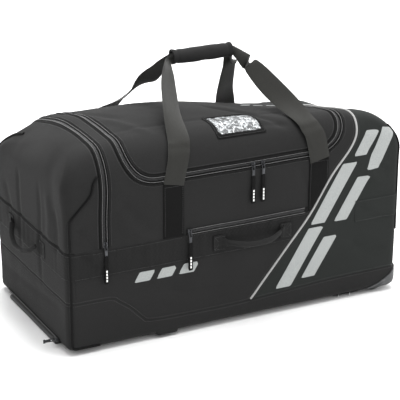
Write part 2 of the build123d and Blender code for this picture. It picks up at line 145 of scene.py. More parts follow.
def side_distance(p):
    return outline_distance(SIDE, p[:, 0], p[:, 2])


def bag_distance(p):
    """How far outside the bag's form each point is."""
    across, along = outline_distance(SECTION, p[:, 1], p[:, 2]), side_distance(p)
    soft = np.hypot(np.maximum(across + EDGE_R, 0), np.maximum(along + EDGE_R, 0)) - EDGE_R
    return np.where(np.maximum(across, along) < -EDGE_R, np.maximum(across, along), soft)


def slope(field, p, reach=0.4):
    """The direction in which a field grows fastest, and how fast."""
    steps = np.eye(3) * reach
    return np.stack([(field(p + s) - field(p - s)) / (2 * reach) for s in steps], 1)


def normals_at(p):
    grown = slope(bag_distance, p)
    return grown / np.linalg.norm(grown, axis=1)[:, None]


# %% [markdown]
# The net starts as a grid on a plain box and each point is moved along a ray from a smaller box inside,
# until it lies on the form. Rays from a core spread evenly round the edges, so no corner bunches up.

# %% The skin as a net
NET = 5.0
CORE_IN = 120


def box_grid(low, high, step):
    """A closed grid on a box, as points and triangles that face outwards."""
    counts = np.round((high - low) / step).astype(int)
    lattice, quads, start = [], [], 0
    for axis, far in itertools.product(range(3), (False, True)):
        u, v = (axis + 1) % 3, (axis + 2) % 3
        iu, iv = np.meshgrid(np.arange(counts[u] + 1), np.arange(counts[v] + 1), indexing="ij")
        face = np.zeros(iu.shape + (3,), int)
        face[..., axis], face[..., u], face[..., v] = far * counts[axis], iu, iv
        ids = np.arange(iu.size).reshape(iu.shape) + start
        quad = np.stack([ids[:-1, :-1], ids[1:, :-1], ids[1:, 1:], ids[:-1, 1:]], -1).reshape(-1, 4)
        quads.append(quad if far else quad[:, ::-1])
        lattice.append(face.reshape(-1, 3))
        start += iu.size
    unique, place = np.unique(np.concatenate(lattice), axis=0, return_inverse=True)
    quads = place.reshape(-1)[np.concatenate(quads)]
    points = low + unique * (high - low) / counts
    return points, np.concatenate([quads[:, [0, 1, 2]], quads[:, [0, 2, 3]]])


def pull_onto_form(points, low, high):
    core = np.clip(points, low + CORE_IN, high - CORE_IN)
    ray = points - core
    ray /= np.linalg.norm(ray, axis=1)[:, None]
    near, away = np.zeros(len(points)), np.full(len(points), 2.5 * CORE_IN)
    for _ in range(26):
        middle = (near + away) / 2
        outside = bag_distance(core + ray * middle[:, None]) > 0
        near, away = np.where(outside, near, middle), np.where(outside, middle, away)
    found = core + ray * near[:, None]
    found[:, 2] = np.maximum(found[:, 2], low[2])
    return found


form_low = np.array([LEFT, FRONT, BASE_Z])
form_high = np.array([-LEFT, -FRONT, 480.0])
net_points, net_triangles = box_grid(form_low, form_high, NET)
net_points = pull_onto_form(net_points, form_low, form_high)
SKIN = (net_points, net_triangles)
print("skin", len(net_points), "points", len(net_triangles), "triangles")

# %% [markdown]
# ## Cutting
# A cut is a rule that gives each point a number: negative is kept. The cut line runs where the number is
# zero. Points close to the line are first slid onto it, so the edge is smooth and has no slivers.

# %% Cut and trace
def cut(mesh, field, keep_both=False):
    """The part of a mesh where field is at most zero, cut exactly along the line."""
    points, triangles = mesh
    value = field(points)
    close = np.abs(value) < 0.3 * NET
    if close.any():
        spot = points[close]
        normal, steep = normals_at(spot), slope(field, spot)
        steep -= (steep * normal).sum(1)[:, None] * normal
        size = np.maximum((steep**2).sum(1), 0.25)
        points = points.copy()
        moved = spot - steep * (value[close] / size)[:, None]
        ok = np.abs(field(moved)) < np.abs(value[close]) * 0.5 + 0.02
        points[close] = np.where(ok[:, None], moved, spot)
        value = np.where(close, 0.0, value) if ok.all() else field(points)
        if not ok.all():
            on_line = np.flatnonzero(close)[ok]
            value[on_line] = 0.0
    inside = value <= 0
    count = inside[triangles].sum(1)
    whole, mixed = triangles[count == 3], triangles[(count > 0) & (count < 3)]
    rest = triangles[count == 0]
    lone_in = inside[mixed].sum(1) == 1
    odd = np.where(lone_in[:, None], inside[mixed], ~inside[mixed]).argmax(1)
    turned = mixed[np.arange(len(mixed))[:, None], (odd[:, None] + np.arange(3)) % 3]
    a, b, c = turned.T
    pairs = np.sort(np.concatenate([np.stack([a, b], 1), np.stack([c, a], 1)]), axis=1)
    edges, place = np.unique(pairs, axis=0, return_inverse=True)
    place = place.reshape(-1)
    start, end = value[edges[:, 0]], value[edges[:, 1]]
    share = np.where(start == end, 0.5, start / np.where(start == end, 1, start - end))
    new = points[edges[:, 0]] * (1 - share[:, None]) + points[edges[:, 1]] * share[:, None]
    ab, ca = place[: len(a)] + len(points), place[len(a):] + len(points)
    tip = np.stack([a, ab, ca], 1)
    wide = np.concatenate([np.stack([ab, b, c], 1), np.stack([ab, c, ca], 1)])
    twice = np.concatenate([lone_in, lone_in])
    kept = [whole, tip[lone_in], wide[~twice]]
    if keep_both:
        kept += [rest, tip[~lone_in], wide[twice]]
    points, triangles = np.concatenate([points, new]), np.concatenate(kept)
    corners = points[triangles]
    area = np.linalg.norm(np.cross(corners[:, 1] - corners[:, 0], corners[:, 2] - corners[:, 0]), axis=1)
    triangles = triangles[area > 1e-3]
    used, place = np.unique(triangles, return_inverse=True)
    return points[used], place.reshape(triangles.shape)


def trace(field, *kept, step=2.0):
    """The lines on the skin where field is zero, as runs of evenly spaced points."""
    points, triangles = SKIN
    value = field(points) + 1e-7
    inside = value <= 0
    count = inside[triangles].sum(1)
    mixed = triangles[(count > 0) & (count < 3)]
    ring = np.stack([mixed, np.roll(mixed, -1, 1)], 2)
    crossed = inside[ring[..., 0]] != inside[ring[..., 1]]
    pairs = np.sort(ring[crossed], axis=1)
    edges, place = np.unique(pairs, axis=0, return_inverse=True)
    start, end = value[edges[:, 0]], value[edges[:, 1]]
    share = (start / (start - end))[:, None]
    spots = points[edges[:, 0]] * (1 - share) + points[edges[:, 1]] * share
    near = {}
    for one, other in place.reshape(-1, 2).tolist():
        near.setdefault(one, []).append(other)
        near.setdefault(other, []).append(one)
    runs, left = [], set(near)
    while left:
        ends = [spot for spot in left if len(near[spot]) == 1]
        here = min(ends) if ends else min(left)
        chain = [here]
        left.discard(here)
        while True:
            ahead = [spot for spot in near[chain[-1]] if spot in left]
            if not ahead:
                break
            chain.append(ahead[0])
            left.discard(ahead[0])
        if not ends and len(chain) > 2:
            chain.append(chain[0])
        runs.append(spots[chain])
    out = []
    for run in runs:
        keep = np.ones(len(run), bool)
        for other in kept:
            keep &= other(run) <= 0
        if keep.all():
            out.append(even(run, step))
            continue
        closed = np.allclose(run[0], run[-1])
        if closed:
            turn = int(np.argmin(keep[:-1]))
            run, keep = np.roll(run[:-1], -turn, 0), np.roll(keep[:-1], -turn)
        breaks = np.flatnonzero(np.diff(np.concatenate([[0], keep.astype(int), [0]])))
        out += [even(run[i:j], step) for i, j in zip(breaks[::2], breaks[1::2]) if j - i > 3]
    return out


def even(line, step):
    """A line's points, spaced evenly and eased a little."""
    line = np.asarray(line, float)
    gaps = np.linalg.norm(np.diff(line, axis=0), axis=1)
    line = line[np.concatenate([[True], gaps > 1e-6])]
    far = np.concatenate([[0], np.cumsum(np.linalg.norm(np.diff(line, axis=0), axis=1))])
    count = max(3, int(round(far[-1] / step)) + 1)
    at = np.linspace(0, far[-1], count)
    spaced = np.stack([np.interp(at, far, line[:, i]) for i in range(3)], 1)
    for _ in range(4):
        spaced[1:-1] = spaced[1:-1] / 2 + (spaced[:-2] + spaced[2:]) / 4
    return spaced


def smooth_line(points, count):
    """A flowing line through the given points."""
    points = np.asarray(points, float)
    padded = np.concatenate([[2 * points[0] - points[1]], points, [2 * points[-1] - points[-2]]])
    at = np.linspace(0, len(points) - 1 - 1e-9, count)
    i = np.floor(at).astype(int)
    t = (at - i)[:, None]
    a, b, c, d = (padded[i + k] for k in range(4))
    return 0.5 * (2 * b + (c - a) * t + (2 * a - 5 * b + 4 * c - d) * t**2 + (3 * b - a - 3 * c + d) * t**3)


# %% [markdown]
# ## The pattern pieces
# These rules are the bag's pattern: the U of the main zip, the end hood, the base seam that swoops down
# from the left corner, the silver line that swings across the front, and the corner guards.

# %% Rules for the seams
lid_low, lid_high = bag_box("lid_zip_upper_tape")
LID_X = (lid_low[0] - GAP / 2, lid_high[0] + GAP / 2)
LID_Z = lid_low[2] - GAP / 2
LID_HINGE_Y = lid_high[1] + GAP / 2
LID_CORNER_R = 75
TAPE = 13
HOOD_X = bag_box("hood_zip_tape")[1][0] + GAP / 2
HOOD_Z = bag_box("end_hood_shell")[0][2] - GAP / 2
SILVER_LINE = [(20, 40), (103, 140), (178, 228), (235, 316), (285, 380), (301, 430), (296, 500)]
BASE_SEAM = [
    (-440, 122), (-326, 121), (-300, 110), (-269, 86), (-245, 62), (-222, 51), (-102, 47), (12, 47),
    (232, 58), (440, 62),
]
GUARD_ARC = [(312, 8), (380, 28), (430, 66)]
GUARD_Y = 140
silver_line = smooth_line(SILVER_LINE, 80)
base_seam = smooth_line(BASE_SEAM, 120)


def above(level):
    return lambda p: level - p[:, 2]


def below(level):
    return lambda p: p[:, 2] - level


def right_of(x):
    return lambda p: x - p[:, 0]


def left_of(x):
    return lambda p: p[:, 0] - x


def behind(y):
    return lambda p: y - p[:, 1]


def before(y):
    return lambda p: p[:, 1] - y


def shifted(field, by, sign=1):
    """The same rule with its line moved by so many millimetres."""
    return lambda p: sign * field(p) + by


def main_zip(p):
    """Distance from the main zip's U, negative on the lid."""
    u = [(LID_X[0], LID_Z, LID_CORNER_R), (LID_X[1], LID_Z, LID_CORNER_R), (LID_X[1], 900, 0), (LID_X[0], 900, 0)]
    return outline_distance(u, p[:, 0], p[:, 2])


def lid_edge(p):
    return np.maximum(main_zip(p), p[:, 1] - LID_HINGE_Y)


def flat_line_distance(line, u, v):
    """Signed distance from a line in a plane, positive on its right."""
    best, sign = np.full(len(u), 1e9), np.ones(len(u))
    for a, b in zip(line[:-1], line[1:]):
        d = b - a
        t = np.clip(((u - a[0]) * d[0] + (v - a[1]) * d[1]) / (d @ d), 0, 1)
        far = np.hypot(u - a[0] - t * d[0], v - a[1] - t * d[1])
        side = np.where((u - a[0]) * d[1] - (v - a[1]) * d[0] > 0, 1.0, -1.0)
        closer = far < best
        best, sign = np.where(closer, far, best), np.where(closer, side, sign)
    return best * sign


def silver(p):
    """Distance from the silver line, positive on the wheel side."""
    return flat_line_distance(silver_line, p[:, 0], p[:, 2])


def base_line(p):
    """Height above the seam between the walls and the base, straight down the slope."""
    height = p[:, 2] - np.interp(p[:, 0], base_seam[:, 0], base_seam[:, 1])
    steep = np.interp(p[:, 0], base_seam[:, 0], np.gradient(base_seam[:, 1], base_seam[:, 0]))
    return height / np.sqrt(1 + steep**2)


def arc_through(a, b, c):
    """Centre and radius of the circle through three points."""
    m = 2 * np.array([[b[0] - a[0], b[1] - a[1]], [c[0] - a[0], c[1] - a[1]]], float)
    r = np.array([b[0]**2 - a[0]**2 + b[1]**2 - a[1]**2, c[0]**2 - a[0]**2 + c[1]**2 - a[1]**2], float)
    centre = np.linalg.solve(m, r)
    return centre, float(np.hypot(*(np.array(a) - centre)))


GUARD_CENTRE, GUARD_R = arc_through(*GUARD_ARC)


def guard(p):
    """Distance from the corner guards, negative on them."""
    arc = GUARD_R - np.hypot(p[:, 0] - GUARD_CENTRE[0], p[:, 2] - GUARD_CENTRE[1])
    return np.maximum.reduce([arc, GUARD_Y - np.abs(p[:, 1]), 300 - p[:, 0], p[:, 2] - 140])


print("lid", [round(float(v)) for v in LID_X], "zip at", round(float(LID_Z)), "hood fold at", round(float(HOOD_Z)))

# %% [markdown]
# ## Relief
# Real cloth is never flat. Filling pushes it out in long swells, seams pull it in, and slack gathers in
# folds that run from the places where it is held. One function adds these up for any point on the skin, so
# a strap that lies on a panel rises and dips with it.

# %% Swells, folds and pulled seams
NOISE_CELLS = 64
noise_tables = {}


def noise(p, size, seed):
    """Smooth noise from -1 to 1 with lumps of the given size, which may differ by axis."""
    if seed not in noise_tables:
        noise_tables[seed] = np.random.default_rng(seed).random((NOISE_CELLS,) * 3) * 2 - 1
    q = p / np.asarray(size, float) + NOISE_CELLS * 4
    cell = np.floor(q).astype(int)
    f = q - cell
    f = f * f * (3 - 2 * f)
    total = np.zeros(len(p))
    for corner in itertools.product((0, 1), repeat=3):
        i, j, k = ((cell + corner) % NOISE_CELLS).T
        total += np.where(corner, f, 1 - f).prod(1) * noise_tables[seed][i, j, k]
    return total


def smoothstep(t):
    t = np.clip(t, 0, 1)
    return t * t * (3 - 2 * t)


def line_distance(p, line):
    """Distance from a line in space, and how far along it the nearest spot is, from 0 to 1."""
    line = np.asarray(line, float)
    best, share = np.full(len(p), 1e9), np.zeros(len(p))
    for i, (a, b) in enumerate(zip(line[:-1], line[1:])):
        d = b - a
        t = np.clip((p - a) @ d / (d @ d), 0, 1)
        far = np.linalg.norm(p - a - t[:, None] * d, axis=1)
        closer = far < best
        best, share = np.where(closer, far, best), np.where(closer, (i + t) / (len(line) - 1), share)
    return best, share


def lying(flat, depth_axis, end):
    """Skin points that show at the given flat places when seen along an axis from one end."""
    seen = [i for i in range(3) if i != depth_axis]
    facing = net_points[net_normals[:, depth_axis] * end > 0.2]
    return [facing[np.argmin(np.hypot(*(facing[:, seen] - spot).T))] for spot in np.asarray(flat, float)]


net_normals = normals_at(net_points)
FOLDS = [(lying(line, axis, end), width, depth) for axis, end, width, depth, line in (
    (2, 1, 9, 3.4, [(-2, -8), (24, -58), (65, -112), (91, -158), (124, -196)]),
    (2, 1, 12, -2.2, [(150, -70), (176, -110), (186, -150)]),
    (2, 1, 8, 1.0, [(-300, -124), (-190, -126), (-60, -124), (120, -128), (250, -122)]),
    (2, 1, 12, 1.8, [(-292, 120), (-262, 20), (-214, -60)]),
    (2, 1, 14, -2.2, [(-262, -30), (-226, -100), (-196, -160)]),
    (2, 1, 9, 1.6, [(-60, -176), (10, -188), (84, -184), (140, -192)]),
    (2, 1, 10, 2.2, [(210, -60), (248, -20), (262, 40)]),
    (2, 1, 8, 1.6, [(196, -120), (238, -96), (272, -40)]),
    (1, -1, 12, 2.2, [(-398, 300), (-376, 262), (-348, 232)]),
    (1, -1, 13, 2.4, [(-396, 246), (-370, 214), (-344, 196)]),
    (1, -1, 16, -2.0, [(-392, 272), (-364, 238), (-340, 214)]),
    (1, -1, 14, 1.8, [(-300, 350), (-262, 300), (-214, 262)]),
    (1, -1, 14, -1.6, [(-304, 322), (-268, 276), (-230, 246)]),
    (1, -1, 8, 1.4, [(150, 350), (168, 300), (172, 232)]),
    (1, -1, 10, 2.0, [(300, 236), (344, 204), (396, 190)]),
    (1, -1, 12, 1.8, [(286, 150), (330, 118), (392, 108)]),
    (1, -1, 12, -1.6, [(318, 336), (352, 290), (398, 262)]),
    (1, -1, 12, 1.8, [(326, 380), (356, 326), (392, 304)]),
    (1, -1, 14, 1.5, [(-200, 118), (-120, 96), (-20, 100)]),
    (0, -1, 9, 1.8, [(62, 372), (64, 300), (58, 214), (56, 150)]),
    (0, -1, 9, 1.7, [(-60, 360), (-66, 280), (-64, 190), (-62, 110)]),
    (0, -1, 16, -2.0, [(-112, 352), (-120, 290), (-118, 236)]),
    (0, -1, 12, 2.0, [(-150, 330), (-162, 276), (-158, 224)]),
    (0, -1, 10, 1.6, [(190, 70), (70, 78), (-50, 90), (-168, 104)]),
    (0, -1, 14, 1.6, [(150, 300), (128, 250), (132, 210)]),
    (0, 1, 14, 2.0, [(-150, 300), (-60, 262), (60, 282)]),
    (0, 1, 14, 1.8, [(-170, 180), (-40, 150), (120, 170)]),
    (1, 1, 14, 2.0, [(-200, 300), (-60, 262), (120, 290)]),
    (1, 1, 14, 1.8, [(-300, 180), (-120, 150), (60, 170)]),
)]
FOLD_DEPTH, CORNER_FILL = 1.6, 7.0
PULLED = [
    (lid_edge, 1.6, 7), (lambda p: np.maximum(p[:, 0] - HOOD_X, HOOD_Z - p[:, 2]), 1.4, 7), (base_line, 1.3, 6),
    (silver, 1.0, 6),
]


def relief(p):
    """How far the cloth stands off the plain form, in millimetres."""
    x, y, z = p.T
    rise = 2.6 * noise(p, 190, 1) + 1.1 * noise(p, 75, 2)
    slack = np.clip(noise(p, 150, 3) + 0.25, 0, 1)
    rise += slack * 1.3 * noise(p, (34, 34, 95), 4)
    rise += np.clip(noise(p, 170, 5), 0, 1) * 1.5 * noise(p, (90, 40, 26), 6)
    for line, width, depth in FOLDS:
        far, share = line_distance(p, line)
        fade = np.clip(6 * share * (1 - share) + 0.15, 0, 1)
        rise -= FOLD_DEPTH * depth * fade * np.exp(-((far / width) ** 2))
    for field, depth, width in PULLED:
        rise -= depth * np.exp(-((field(p) / width) ** 2))
    rise += CORNER_FILL * smoothstep((-230 - x) / 90) * np.exp(-((np.hypot(y + 206, z - 372) / 46) ** 2))
    calm = np.clip((guard(p) + 4) / 50, 0, 1) * np.clip((z - 6) / 45, 0.05, 1)
    return rise * calm


# The bag isn't packed full, so its top has settled towards the back: a lot over the wheels, less over the
# wet end. Everything soft on the top goes down with it, so this is done to places, not to the cloth alone.
SAG, END_DROP, HOOD_DROP = 52.0, 16.0, 34.0


def settled(points):
    """Points of the full bag where they lie on the settled one."""
    x, y, z = np.asarray(points, float).T
    drop = SAG * smoothstep((x + 120) / 440) * smoothstep((y + 240) / 300) + END_DROP * smoothstep((x - 330) / 90)
    drop += HOOD_DROP * smoothstep((-300 - x) / 110) * smoothstep((y + 120) / 220)
    fade = smoothstep((z - 300) / 130) * smoothstep((570 - z) / 80)
    return np.stack([x, y, z - drop * fade], 1)


print("relief runs from", [round(float(v), 1) for v in np.percentile(relief(net_points), (0, 50, 100))], "mm")

# %% [markdown]
# ## Small tools for materials and node trees
# Every material and every Geometry Nodes tree is built from the same helper, which adds one node with its
# settings and links. Colours are written as the sRGB hex a designer would pick and turned to linear once.

# %% Node helper and colours
def add(tree, kind, inputs=None, **settings):
    """Adds a node to a tree. inputs maps socket names or numbers to values or to other sockets."""
    node = tree.nodes.new(kind)
    for key, value in settings.items():
        setattr(node, key, value)
    for key, value in (inputs or {}).items():
        if isinstance(value, bpy.types.NodeSocket):
            tree.links.new(value, node.inputs[key])
        else:
            node.inputs[key].default_value = value
    return node


def hex_colour(code):
    """An sRGB hex colour as linear RGBA."""
    parts = [int(code[i:i + 2], 16) / 255 for i in (1, 3, 5)]
    return tuple(c / 12.92 if c <= 0.04045 else ((c + 0.055) / 1.055) ** 2.4 for c in parts) + (1.0,)


def math_node(tree, operation, *values):
    return add(tree, "ShaderNodeMath", dict(enumerate(values)), operation=operation).outputs[0]


def new_material(name):
    """A material with its tree, its shader node, and object coordinates."""
    material = bpy.data.materials.new(name)
    material.use_nodes = True
    tree = material.node_tree
    return material, tree, tree.nodes["Principled BSDF"]


# %% [markdown]
# ## Cloth
# 600-denier polyester is a plain weave of matt filament yarn, coated on the back. It scatters light widely,
# with a soft sheen at a glancing angle, and no two patches take the dye quite alike. Its threads are about
# 0.5 mm apart; they are drawn at 2 mm here, because finer ones would only blur. Webbing and tape are the
# same yarn in a heavier weave, so one recipe with other numbers makes them all.

# %% Woven materials
def woven(name, colour, thread=2.0, ribs=1.0, mottle=0.16, rough=0.86, sheen=0.05, bump=0.35, streak=0.0):
    """Woven yarn. thread is the spacing in mm along the UV map, ribs makes the weft wider than the warp."""
    material, tree, shader = new_material(name)
    uv = add(tree, "ShaderNodeUVMap", uv_map="weave")
    split = add(tree, "ShaderNodeSeparateXYZ", {0: uv.outputs[0]})
    turn = 2 * math.pi / (thread * MM)
    warp = math_node(tree, "SINE", math_node(tree, "MULTIPLY", split.outputs[0], turn))
    weft = math_node(tree, "SINE", math_node(tree, "MULTIPLY", split.outputs[1], turn / ribs))
    cross = math_node(tree, "MULTIPLY", warp, weft)
    place = add(tree, "ShaderNodeTexCoord")
    patches = add(tree, "ShaderNodeTexNoise", {"Vector": place.outputs["Object"], "Scale": 14.0, "Detail": 3.0})
    fluff = add(tree, "ShaderNodeTexNoise", {"Vector": place.outputs["Object"], "Scale": 420.0, "Detail": 2.0})
    dye = math_node(tree, "MULTIPLY_ADD", patches.outputs[0], mottle, 1 - mottle / 2)
    yarn = math_node(tree, "MULTIPLY_ADD", fluff.outputs[0], 0.5, 0.75)
    light = math_node(tree, "MULTIPLY", dye, yarn)
    light = math_node(tree, "MULTIPLY", light, math_node(tree, "MULTIPLY_ADD", cross, 0.10, 1.0))
    if streak:
        stretched = add(tree, "ShaderNodeMapping", {"Vector": uv.outputs[0], "Scale": (160.0, 6.0, 1.0)})
        lines = add(tree, "ShaderNodeTexNoise", {"Vector": stretched.outputs[0], "Scale": 1.0, "Detail": 2.0})
        streaks = math_node(tree, "MULTIPLY_ADD", lines.outputs[0], streak, 1 - streak / 2)
        light = math_node(tree, "MULTIPLY", light, streaks)
    tint = add(tree, "ShaderNodeVectorMath", {0: hex_colour(colour)[:3]}, operation="SCALE")
    tree.links.new(light, tint.inputs["Scale"])
    tree.links.new(tint.outputs[0], shader.inputs["Base Color"])
    threads = math_node(tree, "MULTIPLY", cross, 0.5)
    grain = math_node(tree, "ADD", threads, math_node(tree, "MULTIPLY", fluff.outputs[0], 0.7))
    height = add(tree, "ShaderNodeBump", {"Height": grain, "Strength": bump, "Distance": 0.0006})
    tree.links.new(height.outputs[0], shader.inputs["Normal"])
    shader.inputs["Roughness"].default_value = rough
    shader.inputs["Sheen Weight"].default_value = sheen
    shader.inputs["Sheen Roughness"].default_value = 0.45
    shader.inputs["Specular IOR Level"].default_value = 0.3
    shader.inputs["IOR"].default_value = 1.2
    return material


BODY_CLOTH = woven("polyester_600d_black", "#262626")
PANEL_CLOTH = woven("polyester_600d_charcoal", "#272928")
LINING = woven("polyester_lining_grey", "#4a4a4d", thread=2.4, rough=0.7, sheen=0.05, bump=0.15)
# One webbing: its grey is painted light on the free loops, its near-black is painted shade on the sewn-down ends.
PAINTED_LIT_WEBBING = woven("polyester_webbing_painted_lit_grey", "#2c2c2a", thread=2.8, ribs=1.6, sheen=0.25, bump=0.8, mottle=0.1)
PAINTED_SHADE_ANCHOR_WEBBING = woven("polyester_webbing_painted_shade_black", "#131313", thread=2.8, ribs=1.6, bump=0.8)
BAND = woven("ribbed_band_black", "#222222", thread=3.4, ribs=4.0, bump=0.9, streak=0.35)
ZIP_TAPE = woven("woven_zip_tape", "#161616", thread=1.8, ribs=2.0, bump=0.6)
BINDING = woven("grosgrain_binding", "#131313", thread=1.8, ribs=0.6, bump=0.6)
SILVER_PRINT = woven("screen_print_silver", "#9da09f", mottle=0.05, rough=0.55, sheen=0.0, bump=0.25)
PIPING_SILVER = woven("piping_silver", "#a0a09f", thread=1.6, mottle=0.08, rough=0.5, sheen=0.0, bump=0.3)
PIPING_BLACK = woven("piping_black", "#141414", thread=1.6, mottle=0.08, rough=0.45, sheen=0.0, bump=0.3)
# Chain stitch beside each coil, made pale so that it also paints the highlight lines on the zip welts.
COIL_STITCH_AND_HIGHLIGHT = woven("coil_chain_stitch_and_painted_highlight_grey", "#777777", thread=1.0, mottle=0.05, rough=0.5, sheen=0.2, bump=0.2)
THREAD = woven("bonded_nylon_thread", "#4c4c4c", thread=1.0, mottle=0.05, rough=0.5, sheen=0.2, bump=0.2)

# %% [markdown]
# ## Plastic, rubber and metal
# The corner guards are moulded polypropylene: a fine spark-eroded grain, a soft shine, paler where the floor
# has rubbed it. Zip coils are nylon, pullers are soft PVC, and sliders are zinc under black paint that wears
# through on its edges.

# %% Moulded and metal materials
def moulded(name, colour, rough=0.5, grain=0.6, bump=0.2, scuff=0.0, coat=0.0, metallic=0.0, ior=1.5):
    """A moulded or painted finish. grain is the size of its texture in mm, scuff how much of it is rubbed paler."""
    material, tree, shader = new_material(name)
    place = add(tree, "ShaderNodeTexCoord")
    here = place.outputs["Object"]
    fine = add(tree, "ShaderNodeTexNoise", {"Vector": here, "Scale": 1 / (grain * MM), "Detail": 2.0})
    broad = add(tree, "ShaderNodeTexNoise", {"Vector": place.outputs["Object"], "Scale": 45.0, "Detail": 6.0})
    worn = add(tree, "ShaderNodeMapRange", {0: broad.outputs[0], 1: 0.5, 2: 0.72, 3: 0.0, 4: scuff})
    base = hex_colour(colour)
    rubbed = tuple(min(1.0, c * 2.2 + 0.03) for c in base[:3]) + (1.0,)
    mix = add(tree, "ShaderNodeMix", {0: worn.outputs[0], 6: base, 7: rubbed}, data_type="RGBA")
    tree.links.new(mix.outputs[2], shader.inputs["Base Color"])
    dull = math_node(tree, "MULTIPLY_ADD", broad.outputs[0], 0.2, rough - 0.1)
    tree.links.new(dull, shader.inputs["Roughness"])
    height = add(tree, "ShaderNodeBump", {"Height": fine.outputs[0], "Strength": bump, "Distance": 0.0004})
    tree.links.new(height.outputs[0], shader.inputs["Normal"])
    shader.inputs["Metallic"].default_value = metallic
    shader.inputs["Coat Weight"].default_value = coat
    shader.inputs["IOR"].default_value = ior
    return material


GUARD_PLASTIC = moulded("polypropylene_guard_grey", "#404142", rough=0.55, scuff=0.5)
HUB_PLASTIC = moulded("nylon_hub_grey", "#3a3b3d", rough=0.45, scuff=0.2)
TYRE_RUBBER = moulded("polyurethane_tyre_black", "#1b1b1c", rough=0.6, grain=1.0, bump=0.3, scuff=0.4)
FOOT_PLASTIC = moulded("polypropylene_foot_black", "#151516", rough=0.5, scuff=0.5)
NYLON_COIL = moulded("nylon_coil_black", "#262627", rough=0.35, grain=0.8, bump=0.1)
PULL_RUBBER = moulded("soft_pvc_pull_black", "#070707", rough=0.75, grain=0.9, bump=0.25, ior=1.25)
PULL_MARK = moulded("pad_print_white", "#f2f2f0", rough=0.45, bump=0.05)
SLIDER_PAINT = moulded("painted_zinc_gunmetal", "#3f4042", rough=0.28, bump=0.08, scuff=0.6, metallic=1.0)
STEEL = moulded("zinc_plated_steel", "#b9babb", rough=0.3, bump=0.06, scuff=0.2, metallic=1.0)
BOARD = moulded("hardboard_brown", "#4b3d30", rough=0.8, grain=2.0, bump=0.3, scuff=0.2)
CARD = moulded("card_printed_grey", "#3a3b3c", rough=0.7, grain=3.0, bump=0.1, scuff=0.6)
CARD_INK = moulded("card_ink_black", "#0e0e0f", rough=0.6, bump=0.05)


def clear_film(name):
    """Clear PVC film: it lets most light through; its wrinkles catch glints, and paler lines along them are painted
    glints.
    """
    material, tree, shader = new_material(name)
    place = add(tree, "ShaderNodeTexCoord")
    crinkle = add(tree, "ShaderNodeTexNoise", {"Vector": place.outputs["Object"], "Scale": 70.0, "Detail": 2.0})
    height = add(tree, "ShaderNodeBump", {"Height": crinkle.outputs[0], "Strength": 0.9, "Distance": 0.008})
    # Painted glints: along the noise's ridges the film turns pale and nearly opaque.
    ridge = math_node(tree, "ABSOLUTE", math_node(tree, "SUBTRACT", crinkle.outputs[0], 0.5))
    edge = math_node(tree, "MAXIMUM", math_node(tree, "SUBTRACT", 1.0, math_node(tree, "MULTIPLY", ridge, 9.0)), 0.0)
    painted_glint = math_node(tree, "POWER", edge, 3.0)
    tree.links.new(math_node(tree, "MULTIPLY_ADD", painted_glint, 0.6, 0.03), shader.inputs["Alpha"])
    tree.links.new(height.outputs[0], shader.inputs["Normal"])
    shader.inputs["Base Color"].default_value = hex_colour("#e8ecee")
    shader.inputs["Roughness"].default_value = 0.06
    shader.inputs["Coat Weight"].default_value = 0.3
    shader.inputs["Coat Roughness"].default_value = 0.03
    return material


CLEAR_PVC = clear_film("clear_pvc_film")
print(len(bpy.data.materials), "materials")

# %% [markdown]
# ## From shapes to pieces
# A piece's mesh is written in the frame's metres, rides on its body, and hides the frame nodes it stands
# for. Its weave map is laid on straight: each face takes the two axes that it faces least, in metres.

# %% Make a piece
def piece(name, points, faces, paint, body, slot, stands_for=(), paint_index=None, weave=None, sharp=40):
    """A finished piece from points in the bag's millimetres and faces, as triangles or lists of any length."""
    mesh = bpy.data.meshes.new(name)
    points = np.asarray(points, float)
    mesh.from_pydata(in_frame(points).tolist(), [], [list(map(int, f)) for f in faces])
    paints = paint if isinstance(paint, (list, tuple)) else [paint]
    for material in paints:
        mesh.materials.append(material)
    if paint_index is not None:
        mesh.polygons.foreach_set("material_index", np.asarray(paint_index, np.int32))
    layer_uv = mesh.uv_layers.new(name="weave")
    corner = np.zeros(len(mesh.loops), int)
    mesh.loops.foreach_get("vertex_index", corner)
    if weave is None:
        normal = np.zeros(len(mesh.polygons) * 3)
        mesh.polygons.foreach_get("normal", normal)
        sizes = np.zeros(len(mesh.polygons), int)
        mesh.polygons.foreach_get("loop_total", sizes)
        faced = np.repeat(np.abs(normal.reshape(-1, 3)).argmax(1), sizes)
        axes = np.array([[1, 2], [0, 2], [0, 1]])[faced]
        flat = (points * MM)[corner[:, None], axes]
    else:
        flat = np.asarray(weave, float)
    layer_uv.data.foreach_set("uv", flat.astype(np.float32).ravel())
    mesh.shade_smooth()
    mesh.set_sharp_from_angle(angle=math.radians(sharp))
    thing = bpy.data.objects.new(name, mesh)
    bpy.context.scene.collection.objects.link(thing)
    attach(thing, body)
    if stands_for:
        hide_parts(*stands_for)
    return thing


def thicken(points, triangles, outer, inner):
    """A closed solid from a net's outer and inner points, with its rim, and which part each face is."""
    edges = np.concatenate([triangles[:, [0, 1]], triangles[:, [1, 2]], triangles[:, [2, 0]]])
    key = np.sort(edges, axis=1)
    _, first, uses = np.unique(key, axis=0, return_index=True, return_counts=True)
    border = edges[first[uses == 1]]
    count = len(points)
    rim = np.concatenate([
        np.stack([border[:, 1], border[:, 0], border[:, 0] + count], 1),
        np.stack([border[:, 1], border[:, 0] + count, border[:, 1] + count], 1),
    ])
    faces = np.concatenate([triangles, triangles[:, ::-1] + count, rim])
    part = np.repeat([0, 1, 0], [len(triangles), len(triangles), len(rim)])
    return np.concatenate([outer, inner]), faces, part


